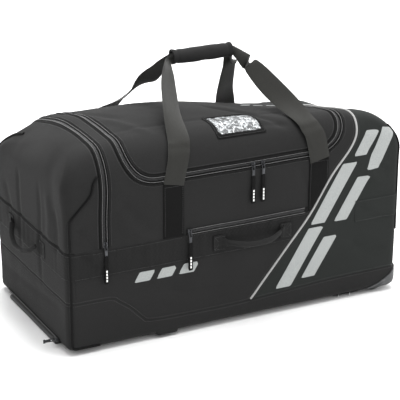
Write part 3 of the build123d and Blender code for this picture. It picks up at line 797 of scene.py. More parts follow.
def panel(name, fields, body, slot, paint, out=0.0, thick=3.0, roll=1.2, welt=0.0, lining=None, stands_for=(),
          extra=None, loops=(2.5, 6.0)):
    """A piece cut from the skin where every field is at most zero, with rolled edges and its thickness inwards."""
    mesh = SKIN
    for field in fields:
        mesh = cut(mesh, field)
    for field in fields:
        for inset in loops:
            mesh = cut(mesh, shifted(field, inset), keep_both=True)
    points, triangles = mesh
    edge = np.min([-field(points) for field in fields], axis=0)
    normal = normals_at(points)
    lift = relief(points) + out - roll * (1 - smoothstep(edge / 2.5))
    if welt:
        lift += welt * np.exp(-(((edge - 4) / 1.8) ** 2))
    if extra is not None:
        lift += extra(points)
    outer = points + normal * lift[:, None]
    inner = points + normal * (np.minimum(lift, relief(points) + out) - thick)[:, None]
    solid, faces, part = thicken(points, triangles, outer, inner)
    return piece(name, solid, faces, [paint, lining or paint], body, slot, stands_for, part)


def cross_loft(rings, closed=True, capped=True):
    """Faces and a weave map for a row of rings with the same number of points."""
    rings = np.asarray(rings, float)
    count, around = rings.shape[:2]
    along = np.concatenate([[0], np.cumsum(np.linalg.norm(np.diff(rings.mean(1), axis=0), axis=1))]) * MM
    middle = rings[count // 2]
    girth = np.concatenate([[0], np.cumsum(np.linalg.norm(np.roll(middle, -1, 0) - middle, axis=1))]) * MM
    faces, weave = [], []
    for i in range(count - 1):
        for j in range(around if closed else around - 1):
            k = (j + 1) % around
            faces.append([i * around + j, i * around + k, (i + 1) * around + k, (i + 1) * around + j])
            (u0, u1), (v0, v1) = girth[j:j + 2], along[i:i + 2]
            weave += [(u0, v0), (u1, v0), (u1, v1), (u0, v1)]
    if capped:
        for ring, order in ((0, range(around - 1, -1, -1)), (count - 1, range(around))):
            faces.append([ring * around + j for j in order])
            weave += [tuple(rings[ring, j, [0, 2]] * MM) for j in order]
    return rings.reshape(-1, 3), faces, weave


def tube(line, radius, sides=10, squeeze=1.0, facing=None):
    """Rings round a line. squeeze flattens them along facing."""
    line = np.asarray(line, float)
    ahead = np.gradient(line, axis=0)
    ahead /= np.linalg.norm(ahead, axis=1)[:, None]
    if facing is None:
        facing = np.tile([0.0, 0.0, 1.0], (len(line), 1))
    side = np.cross(ahead, facing)
    side /= np.linalg.norm(side, axis=1)[:, None]
    up = np.cross(side, ahead)
    turn = np.linspace(0, 2 * math.pi, sides, endpoint=False)
    radius = np.broadcast_to(radius, (len(line),))
    round_about = side[:, None] * np.cos(turn)[None, :, None] + up[:, None] * (squeeze * np.sin(turn))[None, :, None]
    return line[:, None] + round_about * radius[:, None, None]


def joined(parts):
    """Several (points, faces, weave) shapes as one."""
    points, faces, weave, start = [], [], [], 0
    for spots, polys, flat in parts:
        points.append(spots)
        faces += [[i + start for i in poly] for poly in polys]
        weave += list(flat)
        start += len(spots)
    return np.concatenate(points), faces, weave


def outward(points, faces, weave):
    """A closed shape with its faces turned outwards."""
    points = np.asarray(points, float)
    fan = np.array([(f[0], f[i], f[i + 1]) for f in faces for i in range(1, len(f) - 1)])
    a, b, c = points[fan[:, 0]], points[fan[:, 1]], points[fan[:, 2]]
    if (a * np.cross(b, c)).sum() >= 0:
        return points, faces, weave
    turned, at = [], 0
    for face in faces:
        turned += list(weave[at:at + len(face)])[::-1]
        at += len(face)
    return points, [list(face)[::-1] for face in faces], turned


def lofted(rings, **how):
    return outward(*cross_loft(rings, **how))


def slab(size, place=(0, 0, 0), bevel=0.8, taper=1.0, turn=None):
    """A block with softened edges. taper narrows its low end in x, turn is a 3 by 3 rotation."""
    net = bmesh.new()
    bmesh.ops.create_cube(net, size=1.0)
    for vert in net.verts:
        vert.co = Vector((vert.co.x * size[0], vert.co.y * size[1], vert.co.z * size[2]))
        if vert.co.z < 0:
            vert.co.x *= taper
    bmesh.ops.bevel(
        net, geom=list(net.edges), offset=bevel, segments=3, profile=0.6, affect="EDGES", clamp_overlap=True)
    net.verts.ensure_lookup_table()
    points = np.array([v.co for v in net.verts])
    faces = [[v.index for v in f.verts] for f in net.faces]
    net.free()
    if turn is not None:
        points = points @ np.asarray(turn).T
    points = points + np.asarray(place, float)
    weave = [tuple(points[i][[0, 2]] * MM) for face in faces for i in face]
    return points, faces, weave


# %% [markdown]
# ## Walls
# The walls are seven panels of padded polyester, about 4 mm through with foam and lining. Each is cut from
# the skin by the seam rules, its edges rolled under by a millimetre where the stitches pull them, and its
# inside wears the grey lining.

# %% Cut the wall panels
WALL = 3.4
lower_side = shifted(base_line, 0, -1)
clear_of_guard = shifted(guard, -3, -1)


def hood_block(p):
    return np.maximum(p[:, 0] - (HOOD_X + TAPE), (HOOD_Z + GAP) - p[:, 2])


def lid_block(p):
    return np.maximum(main_zip(p) - TAPE, p[:, 1] - LID_HINGE_Y)


clear_of_hood = shifted(hood_block, 0, -1)
clear_of_lid = shifted(lid_block, 0, -1)
END_SEAM_X = LEFT + 18
TOP_FRONT_Y = FRONT + 70
BACK_TOP_Y = LID_HINGE_Y - 4
walls = {
    "base_tub_cloth": ([base_line, clear_of_guard], "body_fabric", BODY_CLOTH, "base_tub"),
    "front_wall_cloth": (
        [lower_side, silver, clear_of_lid, clear_of_hood, right_of(END_SEAM_X), before(TOP_FRONT_Y)],
        "body_fabric", BODY_CLOTH, "front_wall"),
    "back_wall_cloth": (
        [lower_side, silver, clear_of_lid, clear_of_hood, right_of(END_SEAM_X), behind(BACK_TOP_Y)],
        "body_fabric", BODY_CLOTH, "back_wall"),
    "left_end_cloth": (
        [lower_side, left_of(END_SEAM_X), below(HOOD_Z - GAP / 2)], "body_fabric", BODY_CLOTH, "left_end_wall"),
    "left_top_cloth": (
        [right_of(HOOD_X + TAPE), clear_of_lid, behind(TOP_FRONT_Y), before(BACK_TOP_Y), left_of(0), above(200)],
        "body_fabric", BODY_CLOTH, "left_top_strip"),
    "right_top_cloth": (
        [silver, clear_of_lid, behind(TOP_FRONT_Y), before(BACK_TOP_Y), right_of(0), above(200)],
        "body_fabric", BODY_CLOTH, "right_top_strip"),
    "right_end_cloth": (
        [shifted(silver, 0, -1), lower_side, clear_of_guard, clear_of_lid],
        "panel_fabric", PANEL_CLOTH, "right_end_panel"),
}
seams_only = {"left_top_cloth", "right_top_cloth", "front_wall_cloth", "back_wall_cloth"}
for name, (fields, slot, paint, node) in walls.items():
    made = panel(name, fields, "root", slot, paint, thick=WALL, roll=0.5 if name in seams_only else 0.9, lining=LINING,
                 stands_for=[node])
    print(name, len(made.data.polygons), "faces")

# %% [markdown]
# ## Lid and end hood
# The lid is one big flap that opens along three sides, and the hood closes the wet end. Both are the same
# padded cloth as the walls, but they ride on their own bodies, so they swing on their stitched folds.

# %% Cut the lid and the hood
lid_inside = shifted(main_zip, TAPE)
lid_rear = before(LID_HINGE_Y - GAP / 2)
hood_rise = above(HOOD_Z + GAP / 2)
panel("lid_cloth", [lid_inside, lid_rear], "lid", "body_fabric", BODY_CLOTH, thick=WALL, roll=0.5, lining=LINING,
      stands_for=["lid_shell"])
panel("end_hood_cloth", [left_of(HOOD_X - TAPE), hood_rise], "end_hood", "body_fabric", BODY_CLOTH, thick=WALL,
      roll=0.6, lining=LINING, stands_for=["end_hood_shell"])

# %% [markdown]
# ## Zips
# A coil zip is two woven tapes with a nylon coil sewn to each edge. The bag's cloth is folded back beside
# the coil in a small welt, which catches the light as a pair of thin lines, and pale chain stitch on each welt
# paints those lines brighter as a painted highlight. The tapes are cut from the skin like the panels; the coils
# repeat, so they are left to Geometry Nodes below.

# %% Cut the zip tapes
tapes = {
    "lid_lower_tape_cloth": (
        [shifted(main_zip, GAP / 2, -1), shifted(main_zip, -TAPE), lid_rear], "root", "lid_zip_lower_tape"),
    "lid_upper_tape_cloth": (
        [shifted(main_zip, GAP / 2), shifted(main_zip, -TAPE, -1), lid_rear], "lid", "lid_zip_upper_tape"),
    "end_fixed_tape_cloth": (
        [right_of(HOOD_X + GAP / 2), left_of(HOOD_X + TAPE), above(HOOD_Z + GAP)], "root", "end_zip_fixed_tape"),
    "hood_tape_cloth": ([left_of(HOOD_X - GAP / 2), right_of(HOOD_X - TAPE), hood_rise], "end_hood", "hood_zip_tape"),
}
for name, (fields, body, node) in tapes.items():
    panel(name, fields, body, "zip_tape", ZIP_TAPE, thick=2.6, roll=1.6, welt=2.2, stands_for=[node],
          loops=(2.2, 4.0, 6.0))
POCKET_X = tuple(v[0] for v in bag_box("pocket_zip_tape"))
POCKET_Z = tuple(v[2] for v in bag_box("pocket_zip_tape"))
BASE_ZIP_Y = tuple(v[1] for v in bag_box("base_zip_tape"))
BASE_ZIP_Z = tuple(v[2] for v in bag_box("base_zip_tape"))
pocket_tape = [right_of(POCKET_X[0]), left_of(POCKET_X[1]), above(POCKET_Z[0]), below(POCKET_Z[1]), before(0)]
base_tape = [left_of(0), behind(BASE_ZIP_Y[0]), before(BASE_ZIP_Y[1]), above(BASE_ZIP_Z[0]), below(BASE_ZIP_Z[1])]
panel("pocket_tape_cloth", pocket_tape, "root", "zip_tape", ZIP_TAPE,
      out=1.5, thick=1.4, roll=0.6, stands_for=["pocket_zip_tape"])
panel("base_tape_cloth", base_tape, "root", "zip_tape", ZIP_TAPE,
      out=1.2, thick=1.1, roll=0.5, stands_for=["base_zip_tape"])

# %% [markdown]
# ## Bands and piping
# A ribbed band runs round the bag at hand height and takes the pull of the grab handles. Piping is a cord
# wrapped in cloth and caught in a seam: black at the left corners, silver where the end panel begins. It is
# a tube swept along the traced seam, half sunk in the cloth.

# %% Bands and piping
BAND_Z = tuple(v[2] for v in bag_box("waist_band_left"))
RIGHT_BAND_Z = tuple(v[2] for v in bag_box("waist_band_right"))
RIGHT_BAND_X = bag_box("waist_band_right")[0][0]


def puckers(p):
    """Small upright gathers, as a band has where it is sewn on under tension."""
    return 0.7 * noise(p, (9, 9, 120), 21) + 0.35 * noise(p, (5, 5, 60), 22)


panel("waist_band_left_webbing", [above(BAND_Z[0]), below(BAND_Z[1]), shifted(silver, 3)], "root", "band_webbing", BAND,
      out=1.6, thick=1.5, roll=0.6, extra=puckers, stands_for=["waist_band_left"])
panel("waist_band_right_webbing", [above(RIGHT_BAND_Z[0]), below(RIGHT_BAND_Z[1]), right_of(RIGHT_BAND_X)], "root",
      "band_webbing", PANEL_CLOTH, out=1.2, thick=1.2, roll=0.5, stands_for=["waist_band_right"])


# Past this height the front corner's piping leans in along the bag, by so many millimetres at the top.
CORNER_SHIFT, CORNER_SHIFT_FROM, CORNER_SHIFT_RISE = 52, 305, 80


def corner_line(p):
    """Distance from the piping line beside the left end's edge."""
    drawn_in = CORNER_SHIFT * smoothstep((p[:, 2] - CORNER_SHIFT_FROM) / CORNER_SHIFT_RISE)
    return side_distance(p) + 8 + np.where(p[:, 1] < 0, drawn_in, 0)


def piping(name, runs, radius, body, slot, paint, stands_for):
    """Cord in cloth along traced lines."""
    parts = []
    for run in runs:
        normal = normals_at(run)
        core = run + normal * (relief(run) + radius * 0.45)[:, None]
        parts.append(lofted(tube(core, radius, sides=10, facing=normal)))
    spots, faces, weave = joined(parts)
    return piece(name, spots, faces, paint, body, slot, stands_for, weave=weave, sharp=70)


CORD_R, SILVER_CORD_R, WHEEL_END_CORD_R = 2.9, 2.5, 2.4
SILVER_CORD_END_X = 312
WHEEL_END_X, WHEEL_END_Z = 385, 150
near_end = left_of(HOOD_X - TAPE - 1)
front_part, rear_part = before(TOP_FRONT_Y), behind(-FRONT - 110)
lower_front = trace(corner_line, near_end, front_part, below(HOOD_Z - GAP), above(14))
lower_rear = trace(corner_line, near_end, rear_part, below(HOOD_Z - GAP), above(14))
upper = []
for part in (front_part, rear_part):
    upper += trace(corner_line, near_end, part, above(HOOD_Z + GAP))
for name, runs, body, node in (
    ("front_corner_cord", lower_front, "root", "front_corner_piping"),
    ("rear_corner_cord", lower_rear, "root", "rear_corner_piping"),
    ("hood_cord", upper, "end_hood", "hood_piping"),
):
    piping(name, runs, CORD_R, body, "piping_black", PIPING_BLACK, [node])
silver_runs = trace(silver, shifted(base_line, 2, -1), left_of(SILVER_CORD_END_X))
piping("silver_cord", silver_runs, SILVER_CORD_R, "root", "piping_silver", PIPING_SILVER, ["silver_piping"])
wheel_end_runs = []
for part in (front_part, rear_part):
    wheel_end_runs += trace(lambda p: side_distance(p) + 6, right_of(WHEEL_END_X), part, above(WHEEL_END_Z))
piping("wheel_end_cord", wheel_end_runs, WHEEL_END_CORD_R, "root", "piping_black", PIPING_BLACK, [])
print("piping", [round(sum(len(r) for r in runs) * 2) for runs in (lower_front, lower_rear, upper, silver_runs)], "mm")

# %% [markdown]
# ## The printed shapes
# The end panel carries a large silver print. Here it is a plain pattern of slanted bars in the same place
# and of the same weight, with a small one on the front and one on the lid. Each bar is a film a fraction of
# a millimetre thick, cut from the skin by a polygon, so it follows every swell of the cloth.

# %% Printed bars
def inside_bar(corners, field_axes=(0, 2)):
    """A rule for a polygon with straight sides in a flat view, corners anticlockwise."""
    shape = [(u, v, 0) for u, v in corners]
    return lambda p: outline_distance(shape, p[:, field_axes[0]], p[:, field_axes[1]])


def slanted(x, z, width, height, lean):
    """Corners of an upright-ended bar whose top is moved right by lean."""
    return [(x, z), (x + width, z), (x + width + lean, z + height), (x + lean, z + height)]


SIDE_BARS = [
    slanted(92, 62, 40, 134, 86), slanted(160, 76, 36, 92, 59),
    slanted(182, 204, 38, 136, 82), slanted(244, 202, 34, 100, 60),
    slanted(292, 354, 34, 58, 32), slanted(326, 316, 34, 104, 42),
]
FRONT_BARS = [slanted(-264 + 54 * i, 147, 38, 23, 14) for i in range(3)]


def print_on(name, bars, body, front=True):
    parts = []
    for corners in bars:
        rule = inside_bar(corners, (0, 2) if front else (0, 1))
        facing = (lambda p: normals_at(p)[:, 1] + 0.45) if front else above(300)
        mesh = cut(cut(SKIN, facing), rule)
        points, triangles = mesh
        normal, lift = normals_at(points), relief(points)
        ink_top, ink_under = (points + normal * (lift + rise)[:, None] for rise in (0.5, -0.4))
        solid, faces, _ = thicken(points, triangles, ink_top, ink_under)
        weave = [tuple(solid[i][[0, 2] if front else [0, 1]] * MM) for face in faces for i in face]
        parts.append((solid, faces.tolist(), weave))
    spots, faces, weave = joined(parts)
    return piece(name, spots, faces, SILVER_PRINT, body, "piping_silver", weave=weave)


print_on("end_panel_print", SIDE_BARS, "root")
print_on("front_print", FRONT_BARS, "root")
print_on("lid_print", [slanted(106 + 34 * i, -12, 24, 15, 10) for i in range(3)], "lid", front=False)

# %% [markdown]
# ## ID window
# A clear PVC pocket bound with grosgrain. Under the film lies a blank card with one dark block. The film
# is thin, so it is a bright, nearly clear skin whose crinkles throw glints, with more painted on as pale lines.

# %% ID window
window_low, window_high = bag_box("id_window_frame")
glass_low, glass_high = bag_box("id_window_film")


def rectangle(low, high, radius=4, grow=0):
    corners = [(low[0], low[1]), (high[0], low[1]), (high[0], high[1]), (low[0], high[1])]
    middle_x, middle_y = (low[0] + high[0]) / 2, (low[1] + high[1]) / 2
    shape = [(x + math.copysign(grow, x - middle_x), y + math.copysign(grow, y - middle_y), radius)
             for x, y in corners]
    return lambda p: outline_distance(shape, p[:, 0], p[:, 1])


on_top = above(300)
window_rule, glass_rule = rectangle(window_low, window_high, 3), rectangle(glass_low, glass_high, 4)
panel("id_window_binding", [on_top, window_rule, shifted(glass_rule, 0, -1)], "lid", "binding", BINDING, out=2.0,
      thick=1.8, roll=0.8, stands_for=["id_window_frame"], loops=(2.0,))
panel("id_window_clear", [on_top, rectangle(glass_low, glass_high, 4, 2)], "lid", "clear_pvc", CLEAR_PVC, out=1.6,
      thick=0.5, roll=0.2, extra=lambda p: 0.5 * noise(p, 22, 31) + 0.25 * noise(p, 9, 32),
      stands_for=["id_window_film"])
panel("id_window_card", [on_top, rectangle(glass_low, glass_high, 3, -2)], "lid", "card", CARD, out=0.6, thick=0.4,
      roll=0, stands_for=["id_card"])
patch_low = glass_low + np.array([9, 40, 0])
patch_high = np.array([glass_low[0] + 46, glass_high[1] - 8, 0])
panel("id_card_block", [on_top, rectangle(patch_low, patch_high, 1)], "lid", "card", CARD_INK, out=0.8, thick=0.5,
      roll=0)

# %% [markdown]
# ## Carry straps
# Four straps of 50 mm webbing are sewn up the bag's sides, come free at the shoulder and run up in pairs
# into a padded grip. Near the grip each is folded lengthwise, so it narrows and stands on edge. A strap is
# swept from a few stations, each with a place, a side direction and a width, with a flowing line through them.

# %% Strap sweep
WEBBING_W = 50
WEBBING_T = 2.4
STRAP_X = tuple(bag_box("front_strap_anchors")[i][0] + s * WEBBING_W / 2 for i, s in ((0, 1),)) + (200,)
grip_low, grip_high = bag_box("grip_wrap")
GRIP_X = (grip_low[0] - GAP, grip_high[0] + GAP)
GRIP_Z = (grip_low[2] + grip_high[2]) / 2
GRIP_R = (grip_high[2] - grip_low[2]) / 2


def strap(stations, count=70, thick=WEBBING_T, bow=0.0):
    """Webbing through (place, side, width) stations. bow cups it across its width."""
    place = smooth_line([s[0] for s in stations], count)
    side = smooth_line([s[1] for s in stations], count)
    width = smooth_line([[s[2]] for s in stations], count)[:, 0]
    ahead = np.gradient(place, axis=0)
    ahead /= np.linalg.norm(ahead, axis=1)[:, None]
    side -= (side * ahead).sum(1)[:, None] * ahead
    side /= np.linalg.norm(side, axis=1)[:, None]
    up = np.cross(side, ahead)
    across = np.concatenate([np.linspace(-1, 1, 9), np.linspace(1, -1, 9)])
    lift = np.repeat([0.5, -0.5], 9) * np.where(np.abs(across) > 0.99, 0.35, 1.0)
    fold = np.broadcast_to(bow, (count,))
    cup = fold[:, None] * (np.abs(across)[None] ** 2)
    return place[:, None] + side[:, None] * (across[None] * width[:, None] / 2)[..., None] \
        + up[:, None] * (lift[None] * thick + cup)[..., None]


def shoulder_point(centre, radius, turn, side):
    """A place on a shoulder, turn degrees up from the wall, as (y, z)."""
    angle = math.radians(turn)
    return centre[0] + side * radius * math.cos(angle), centre[1] + radius * math.sin(angle)


def carry_leg(x, grip_x, side, start_z, centre, radius, leave, swing=0.0, twist=0.0):
    """Stations of one leg, from its sewn line over the shoulder to the grip."""
    lean = grip_x - x
    inward = math.copysign(1, lean)
    off = 7.5
    stations = [((x, side * (HALF_WIDTH + 4.2), start_z), (1, 0, 0), WEBBING_W)]
    for share in (0.3, 0.65, 1.0):
        y, z = shoulder_point(centre, radius + off, leave * share, side)
        stations.append(((x + lean * (0.05 + 0.2 * share), y, z), (1, 0, 0), WEBBING_W))
    last = np.array(stations[-1][0])
    mouth = np.array([grip_x - inward * 10, side * 5, GRIP_Z - 6])
    rise = (mouth - last) / np.linalg.norm(mouth - last)
    flat = np.array([1, 0, -rise[0] / rise[2]])
    for share, width in ((0.35, 50), (0.65, 44), (0.85, 32)):
        spot = last + (mouth - last) * share + np.array([-inward * swing * math.sin(math.pi * share), 0, 0])
        turned = flat * (1 - share**3) + np.array([inward * 0.4, 0.5 * side, -0.8]) * share**3
        if share < 0.5:
            turned = turned + np.cross(turned, rise) * twist
        stations.append((tuple(spot), tuple(turned / np.linalg.norm(turned)), width))
    stations.append((tuple(mouth), (inward * 0.6, 0.0, -0.8), 20))
    stations.append(((grip_x + inward * 8, side * 5, GRIP_Z), (0.01, 0.0, -1.0), 19))
    return stations


def arc_centre(corners, radius):
    """The centre of the rounded corner of that radius in an outline."""
    points = np.array([corner[:2] for corner in corners], float)
    i = [corner[2] for corner in corners].index(radius)
    back, ahead = points[i - 1] - points[i], points[(i + 1) % len(points)] - points[i]
    back, ahead = back / np.linalg.norm(back), ahead / np.linalg.norm(ahead)
    half = math.acos(float(back @ ahead)) / 2
    middle = (back + ahead) / np.linalg.norm(back + ahead)
    return points[i] + middle * radius / math.sin(half)


FRONT_CENTRE, REAR_CENTRE = arc_centre(SECTION, 70), arc_centre(SECTION, 110)
FRONT_START = bag_box("front_strap_anchors")[1][2] + GAP
REAR_START = bag_box("rear_strap_anchors")[1][2] + GAP
loops = {
    "front_loop": (-1, FRONT_START, FRONT_CENTRE, 70, 55), "rear_loop": (1, REAR_START, REAR_CENTRE, 110, 46),
}
TWIST = -1.3
for body, (side, start, centre, radius, leave) in loops.items():
    parts = []
    for x, grip_x in zip(STRAP_X, GRIP_X):
        twist = TWIST if side > 0 and x < 0 else 0.0
        stations = carry_leg(x, grip_x, side, start, centre, radius, leave, swing=8 if side < 0 else -10, twist=twist)
        bow = np.linspace(0, 1, 70) ** 4 * 5
        parts.append(lofted(strap(stations, bow=bow)))
    spots, faces, weave = joined(parts)
    # The free loops take the lighter copy of the webbing, as painted light.
    piece(body + "_straps", spots, faces, PAINTED_LIT_WEBBING, body, "webbing", [body + "_webbing"], weave=weave)

# %% [markdown]
# The lower ends of the straps lie on the bag and are cut from the skin, two on each side, a webbing's
# thickness proud of it.

# %% Sewn-down straps
ANCHOR_Z = bag_box("front_strap_anchors")[0][2]
for end, side_rule, top in (("front", before(0), FRONT_START - GAP), ("rear", behind(0), REAR_START - GAP)):
    for tag, x in zip(("left", "right"), STRAP_X):
        across = [right_of(x - WEBBING_W / 2), left_of(x + WEBBING_W / 2)]
        fields = [side_rule, *across, above(ANCHOR_Z), below(top + GAP + 4), shifted(silver, 3)]
        # The sewn-down ends take the darker copy of the webbing, as painted shade.
        panel(end + "_strap_" + tag, fields, "root", "webbing", PAINTED_SHADE_ANCHOR_WEBBING, out=2.6, thick=2.4, roll=0.8,
              stands_for=[end + "_strap_anchors"])

# %% [markdown]
# ## Padded grip
# The grip is a foam sleeve closed round all four straps with a hook-and-loop flap. It is a tube with a soft,
# slightly squashed section that swells in the middle, a hem at each end, and the flap's edge along its side.

# %% Grip
def grip():
    length = GRIP_X[1] - GRIP_X[0] - 2 * GAP
    count, around = 64, 40
    t = np.linspace(-1, 1, count)
    turn = np.linspace(0, 2 * math.pi, around, endpoint=False)
    x = (GRIP_X[0] + GRIP_X[1]) / 2 + t * length / 2
    swell = 1 - 0.10 * np.exp(-(((np.abs(t) - 0.86) / 0.05) ** 2)) - 0.02 * np.cos(t * 9)
    flap = 0.05 * smoothstep((turn - 3.5) / 0.18) * (1 - smoothstep((turn - 4.9) / 1.2))
    spots = np.stack(np.broadcast_arrays(
        x[:, None], GRIP_R * 0.93 * swell[:, None] * (1 + flap) * np.cos(turn),
        GRIP_Z + GRIP_R * 0.97 * swell[:, None] * (1 + flap) * np.sin(turn)), -1).copy()
    crease = noise(spots.reshape(-1, 3), (16, 11, 11), 41).reshape(count, around)
    centre = np.array([0, 0, GRIP_Z])
    away = spots - centre
    away[..., 0] = 0
    away /= np.linalg.norm(away, axis=2)[..., None]
    spots += away * (crease * 0.9)[..., None]
    hole = spots.copy()
    hole -= away * 4.2
    rings = np.concatenate([spots, hole[::-1], spots[:1]])
    return lofted(rings, capped=False)


made = piece("grip_sleeve", *grip()[:2], BODY_CLOTH, "front_loop", "binding", ["grip_wrap"], weave=grip()[2])

# %% [markdown]
# ## Grab handles
# Each grab handle is a sleeve of cloth over webbing, bowed out from the wall so that fingers fit behind it.
# Its ends go flat into sewn patches on the band.

# %% Grab handles and patches
def handle_line(half, depth, droop, count=48):
    """The bow's centre line between its lugs, in the handle's own frame."""
    t = np.linspace(-1, 1, count)
    out = depth * (1 - np.abs(t) ** 2.3) - 3
    tilt = math.radians(droop)
    return np.stack([t * half, -out * math.cos(tilt), -out * math.sin(tilt)], 1), t


def sleeve(half, depth, droop, seed):
    line, t = handle_line(half, depth, droop)
    tilt = math.radians(droop)
    facing = np.tile([0, -math.cos(tilt), -math.sin(tilt)], (len(line), 1))
    rings = tube(line, 7.4 - 1.2 * np.abs(t) ** 4, sides=20, squeeze=0.62, facing=facing)
    flat = rings.reshape(-1, 3)
    centre = np.repeat(line, 20, 0)
    away = flat - centre
    away /= np.linalg.norm(away, axis=1)[:, None]
    flat = flat + away * (0.7 * noise(flat, (7, 9, 9), seed) + 0.3 * noise(flat, 5, seed + 1))[:, None]
    return flat.reshape(rings.shape)


def turned_place(points, place, turn):
    a = math.radians(turn)
    spin = np.array([[math.cos(a), -math.sin(a), 0], [math.sin(a), math.cos(a), 0], [0, 0, 1]])
    return np.asarray(points) @ spin.T + np.array(place)


PATCH_W, PATCH_H, LUG_OUT = 30, 36, 11
handles = {
    "front": ((29.5, FRONT - LUG_OUT, 205), 0, 68.0, 24, 16), "end": ((LEFT - LUG_OUT, 14, 207), -90, 77.5, 34, 60),
}
for end, (place, turn, half, depth, droop) in handles.items():
    spots, faces, weave = lofted(sleeve(half, depth, droop, 51 if turn else 55))
    piece(end + "_handle_sleeve", turned_place(spots, place, turn), faces, BODY_CLOTH, end + "_grab_handle", "webbing",
          [end + "_grab_handle"], weave=weave)
    parts = []
    for side in (-1, 1):
        middle = side * (half + 2 + PATCH_W / 2)
        pad = slab((PATCH_W, 2.8, PATCH_H), (middle, LUG_OUT - 3.2, 0), bevel=1.0)
        gap = side * (half + 3)
        stations = [((gap - side * 6, 1.0, 0), (0, 0, 1), 14), ((gap + side * 2, 1.5, 0), (0, 0, 1), 22),
                    ((gap + side * 9, 5.5, 0), (0, 0, 1), 29), ((gap + side * 16, 7.0, 0), (0, 0, 1), 31)]
        parts += [pad, lofted(strap(stations, count=14, thick=2.2))]
    spots, faces, weave = joined(parts)
    piece(end + "_handle_tabs", turned_place(spots, place, turn), faces, BAND, "root", "band_webbing",
          [end + "_handle_patches"], weave=weave)

# %% [markdown]
# ## Wheels and guards
# Each wheel is a soft tyre on a nylon hub with five spokes and two bearings, in a box moulded with the
# corner guard. The guard, axle, screws and bearings keep the frame's own shape. The tyre and hub are turned,
# like clay on a wheel, from a profile, and the guard gets ribs that follow its curved edge.

# %% Turned tyre and hub
wheel_low, wheel_high = bag_box("wheel_tyre_front")
WHEEL_X = (wheel_low[0] + wheel_high[0]) / 2
WHEEL_Z = (wheel_low[2] + wheel_high[2]) / 2
WHEEL_R = (wheel_high[2] - wheel_low[2]) / 2
HUB_R = WHEEL_R - 9


def turned(profile, y, sides=64, radial=None):
    """A closed profile of (radius, y) turned about the wheel's axis."""
    profile = np.asarray(profile, float)
    turn = np.linspace(0, 2 * math.pi, sides, endpoint=False)
    radius = np.broadcast_to(profile[None, :, 0], (sides, len(profile)))
    if radial is not None:
        radius = radial(radius, turn)
    rings = np.stack([WHEEL_X + radius * np.cos(turn)[:, None], np.broadcast_to(y + profile[None, :, 1], radius.shape),
                      WHEEL_Z + radius * np.sin(turn)[:, None]], -1)
    return lofted(np.concatenate([rings, rings[:1]]), capped=False)


def tyre_profile():
    half = (wheel_high[1] - wheel_low[1]) / 2
    crown = [(WHEEL_R - 3.2 * abs(t) ** 3 - 0.8 * math.exp(-((abs(t) - 0.33) / 0.05) ** 2), t * half)
             for t in np.linspace(-1, 1, 25)]
    return [(HUB_R + 0.2, -half + 1)] + crown + [(HUB_R + 0.2, half - 1)]


def hub_parts(y, half):
    rim = turned([(HUB_R, -half), (HUB_R, half), (HUB_R - 4, half), (HUB_R - 4.6, half - 2), (HUB_R - 4.6, -half + 2),
                  (HUB_R - 4, -half)], y)
    boss = turned([(9.2, -half), (9.2, half), (13.2, half), (14, half - 1), (14, -half + 1), (13.2, -half)], y,
                  sides=40)
    web = turned([(13, -2), (13, 2), (HUB_R - 4, 2), (HUB_R - 4, -2)], y, sides=60)
    parts = [rim, boss, web]
    for i in range(5):
        angle = 2 * math.pi * i / 5 + 0.3
        spin = np.array([[math.cos(angle), 0, -math.sin(angle)], [0, 1, 0], [math.sin(angle), 0, math.cos(angle)]])
        spots, faces, weave = slab((HUB_R - 16, 2 * half - 5, 3.4), (13 + (HUB_R - 17) / 2, 0, 0), bevel=0.7)
        parts.append((spots @ spin.T + np.array([WHEEL_X, y, WHEEL_Z]), faces, weave))
    return parts


for end in ("front", "rear"):
    low, high = bag_box("wheel_tyre_" + end)
    y = (low[1] + high[1]) / 2
    spots, faces, weave = turned(tyre_profile(), y)
    piece("tyre_" + end, spots, faces, TYRE_RUBBER, "wheel_" + end, "tyre", ["wheel_tyre_" + end], weave=weave)
    low, high = bag_box("wheel_hub_" + end)
    spots, faces, weave = joined(hub_parts(y, (high[1] - low[1]) / 2))
    piece("hub_" + end, spots, faces, HUB_PLASTIC, "wheel_" + end, "hub_plastic", ["wheel_hub_" + end], weave=weave)

# %% Guard ribs
for end, side_rule in (("front", before(0)), ("rear", behind(0))):
    parts = []
    for inset in (7, 14, 21, 28, 35):
        for run in trace(shifted(guard, inset), side_rule, above(10)):
            if len(run) > 8:
                normal = normals_at(run)
                fade = np.clip(np.minimum(np.arange(len(run)), np.arange(len(run))[::-1]) / 5, 0.25, 1)
                parts.append(lofted(tube(run + normal * 3.0, 1.5 * fade, sides=8, facing=normal)))
    spots, faces, weave = joined(parts)
    piece("guard_ribs_" + end, spots, faces, GUARD_PLASTIC, "root", "guard_plastic", weave=weave, sharp=70)

# %% [markdown]
# ## Finishes on the frame's own parts
# Parts whose measured shape is already right keep it and only take their finish.

# %% Finishes
finishes = {
    "wheel_housing_front": GUARD_PLASTIC, "wheel_housing_rear": GUARD_PLASTIC, "axle_front": STEEL, "axle_rear": STEEL,
    "housing_screws_front": STEEL, "housing_screws_rear": STEEL,
    "wheel_bearings_front": STEEL, "wheel_bearings_rear": STEEL,
    "foot_bar": FOOT_PLASTIC, "base_board": BOARD,
}
for node, paint in finishes.items():
    mesh = frame["nodes"][node].data
    mesh.materials.clear()
    mesh.materials.append(paint)

# %% [markdown]
# ## Inside
# A thin wall of lining parts the wet end from the main room, and the front pocket hangs flat behind the
# front wall. Both are single sheets, cut flat and held at their edges, with a little slack.

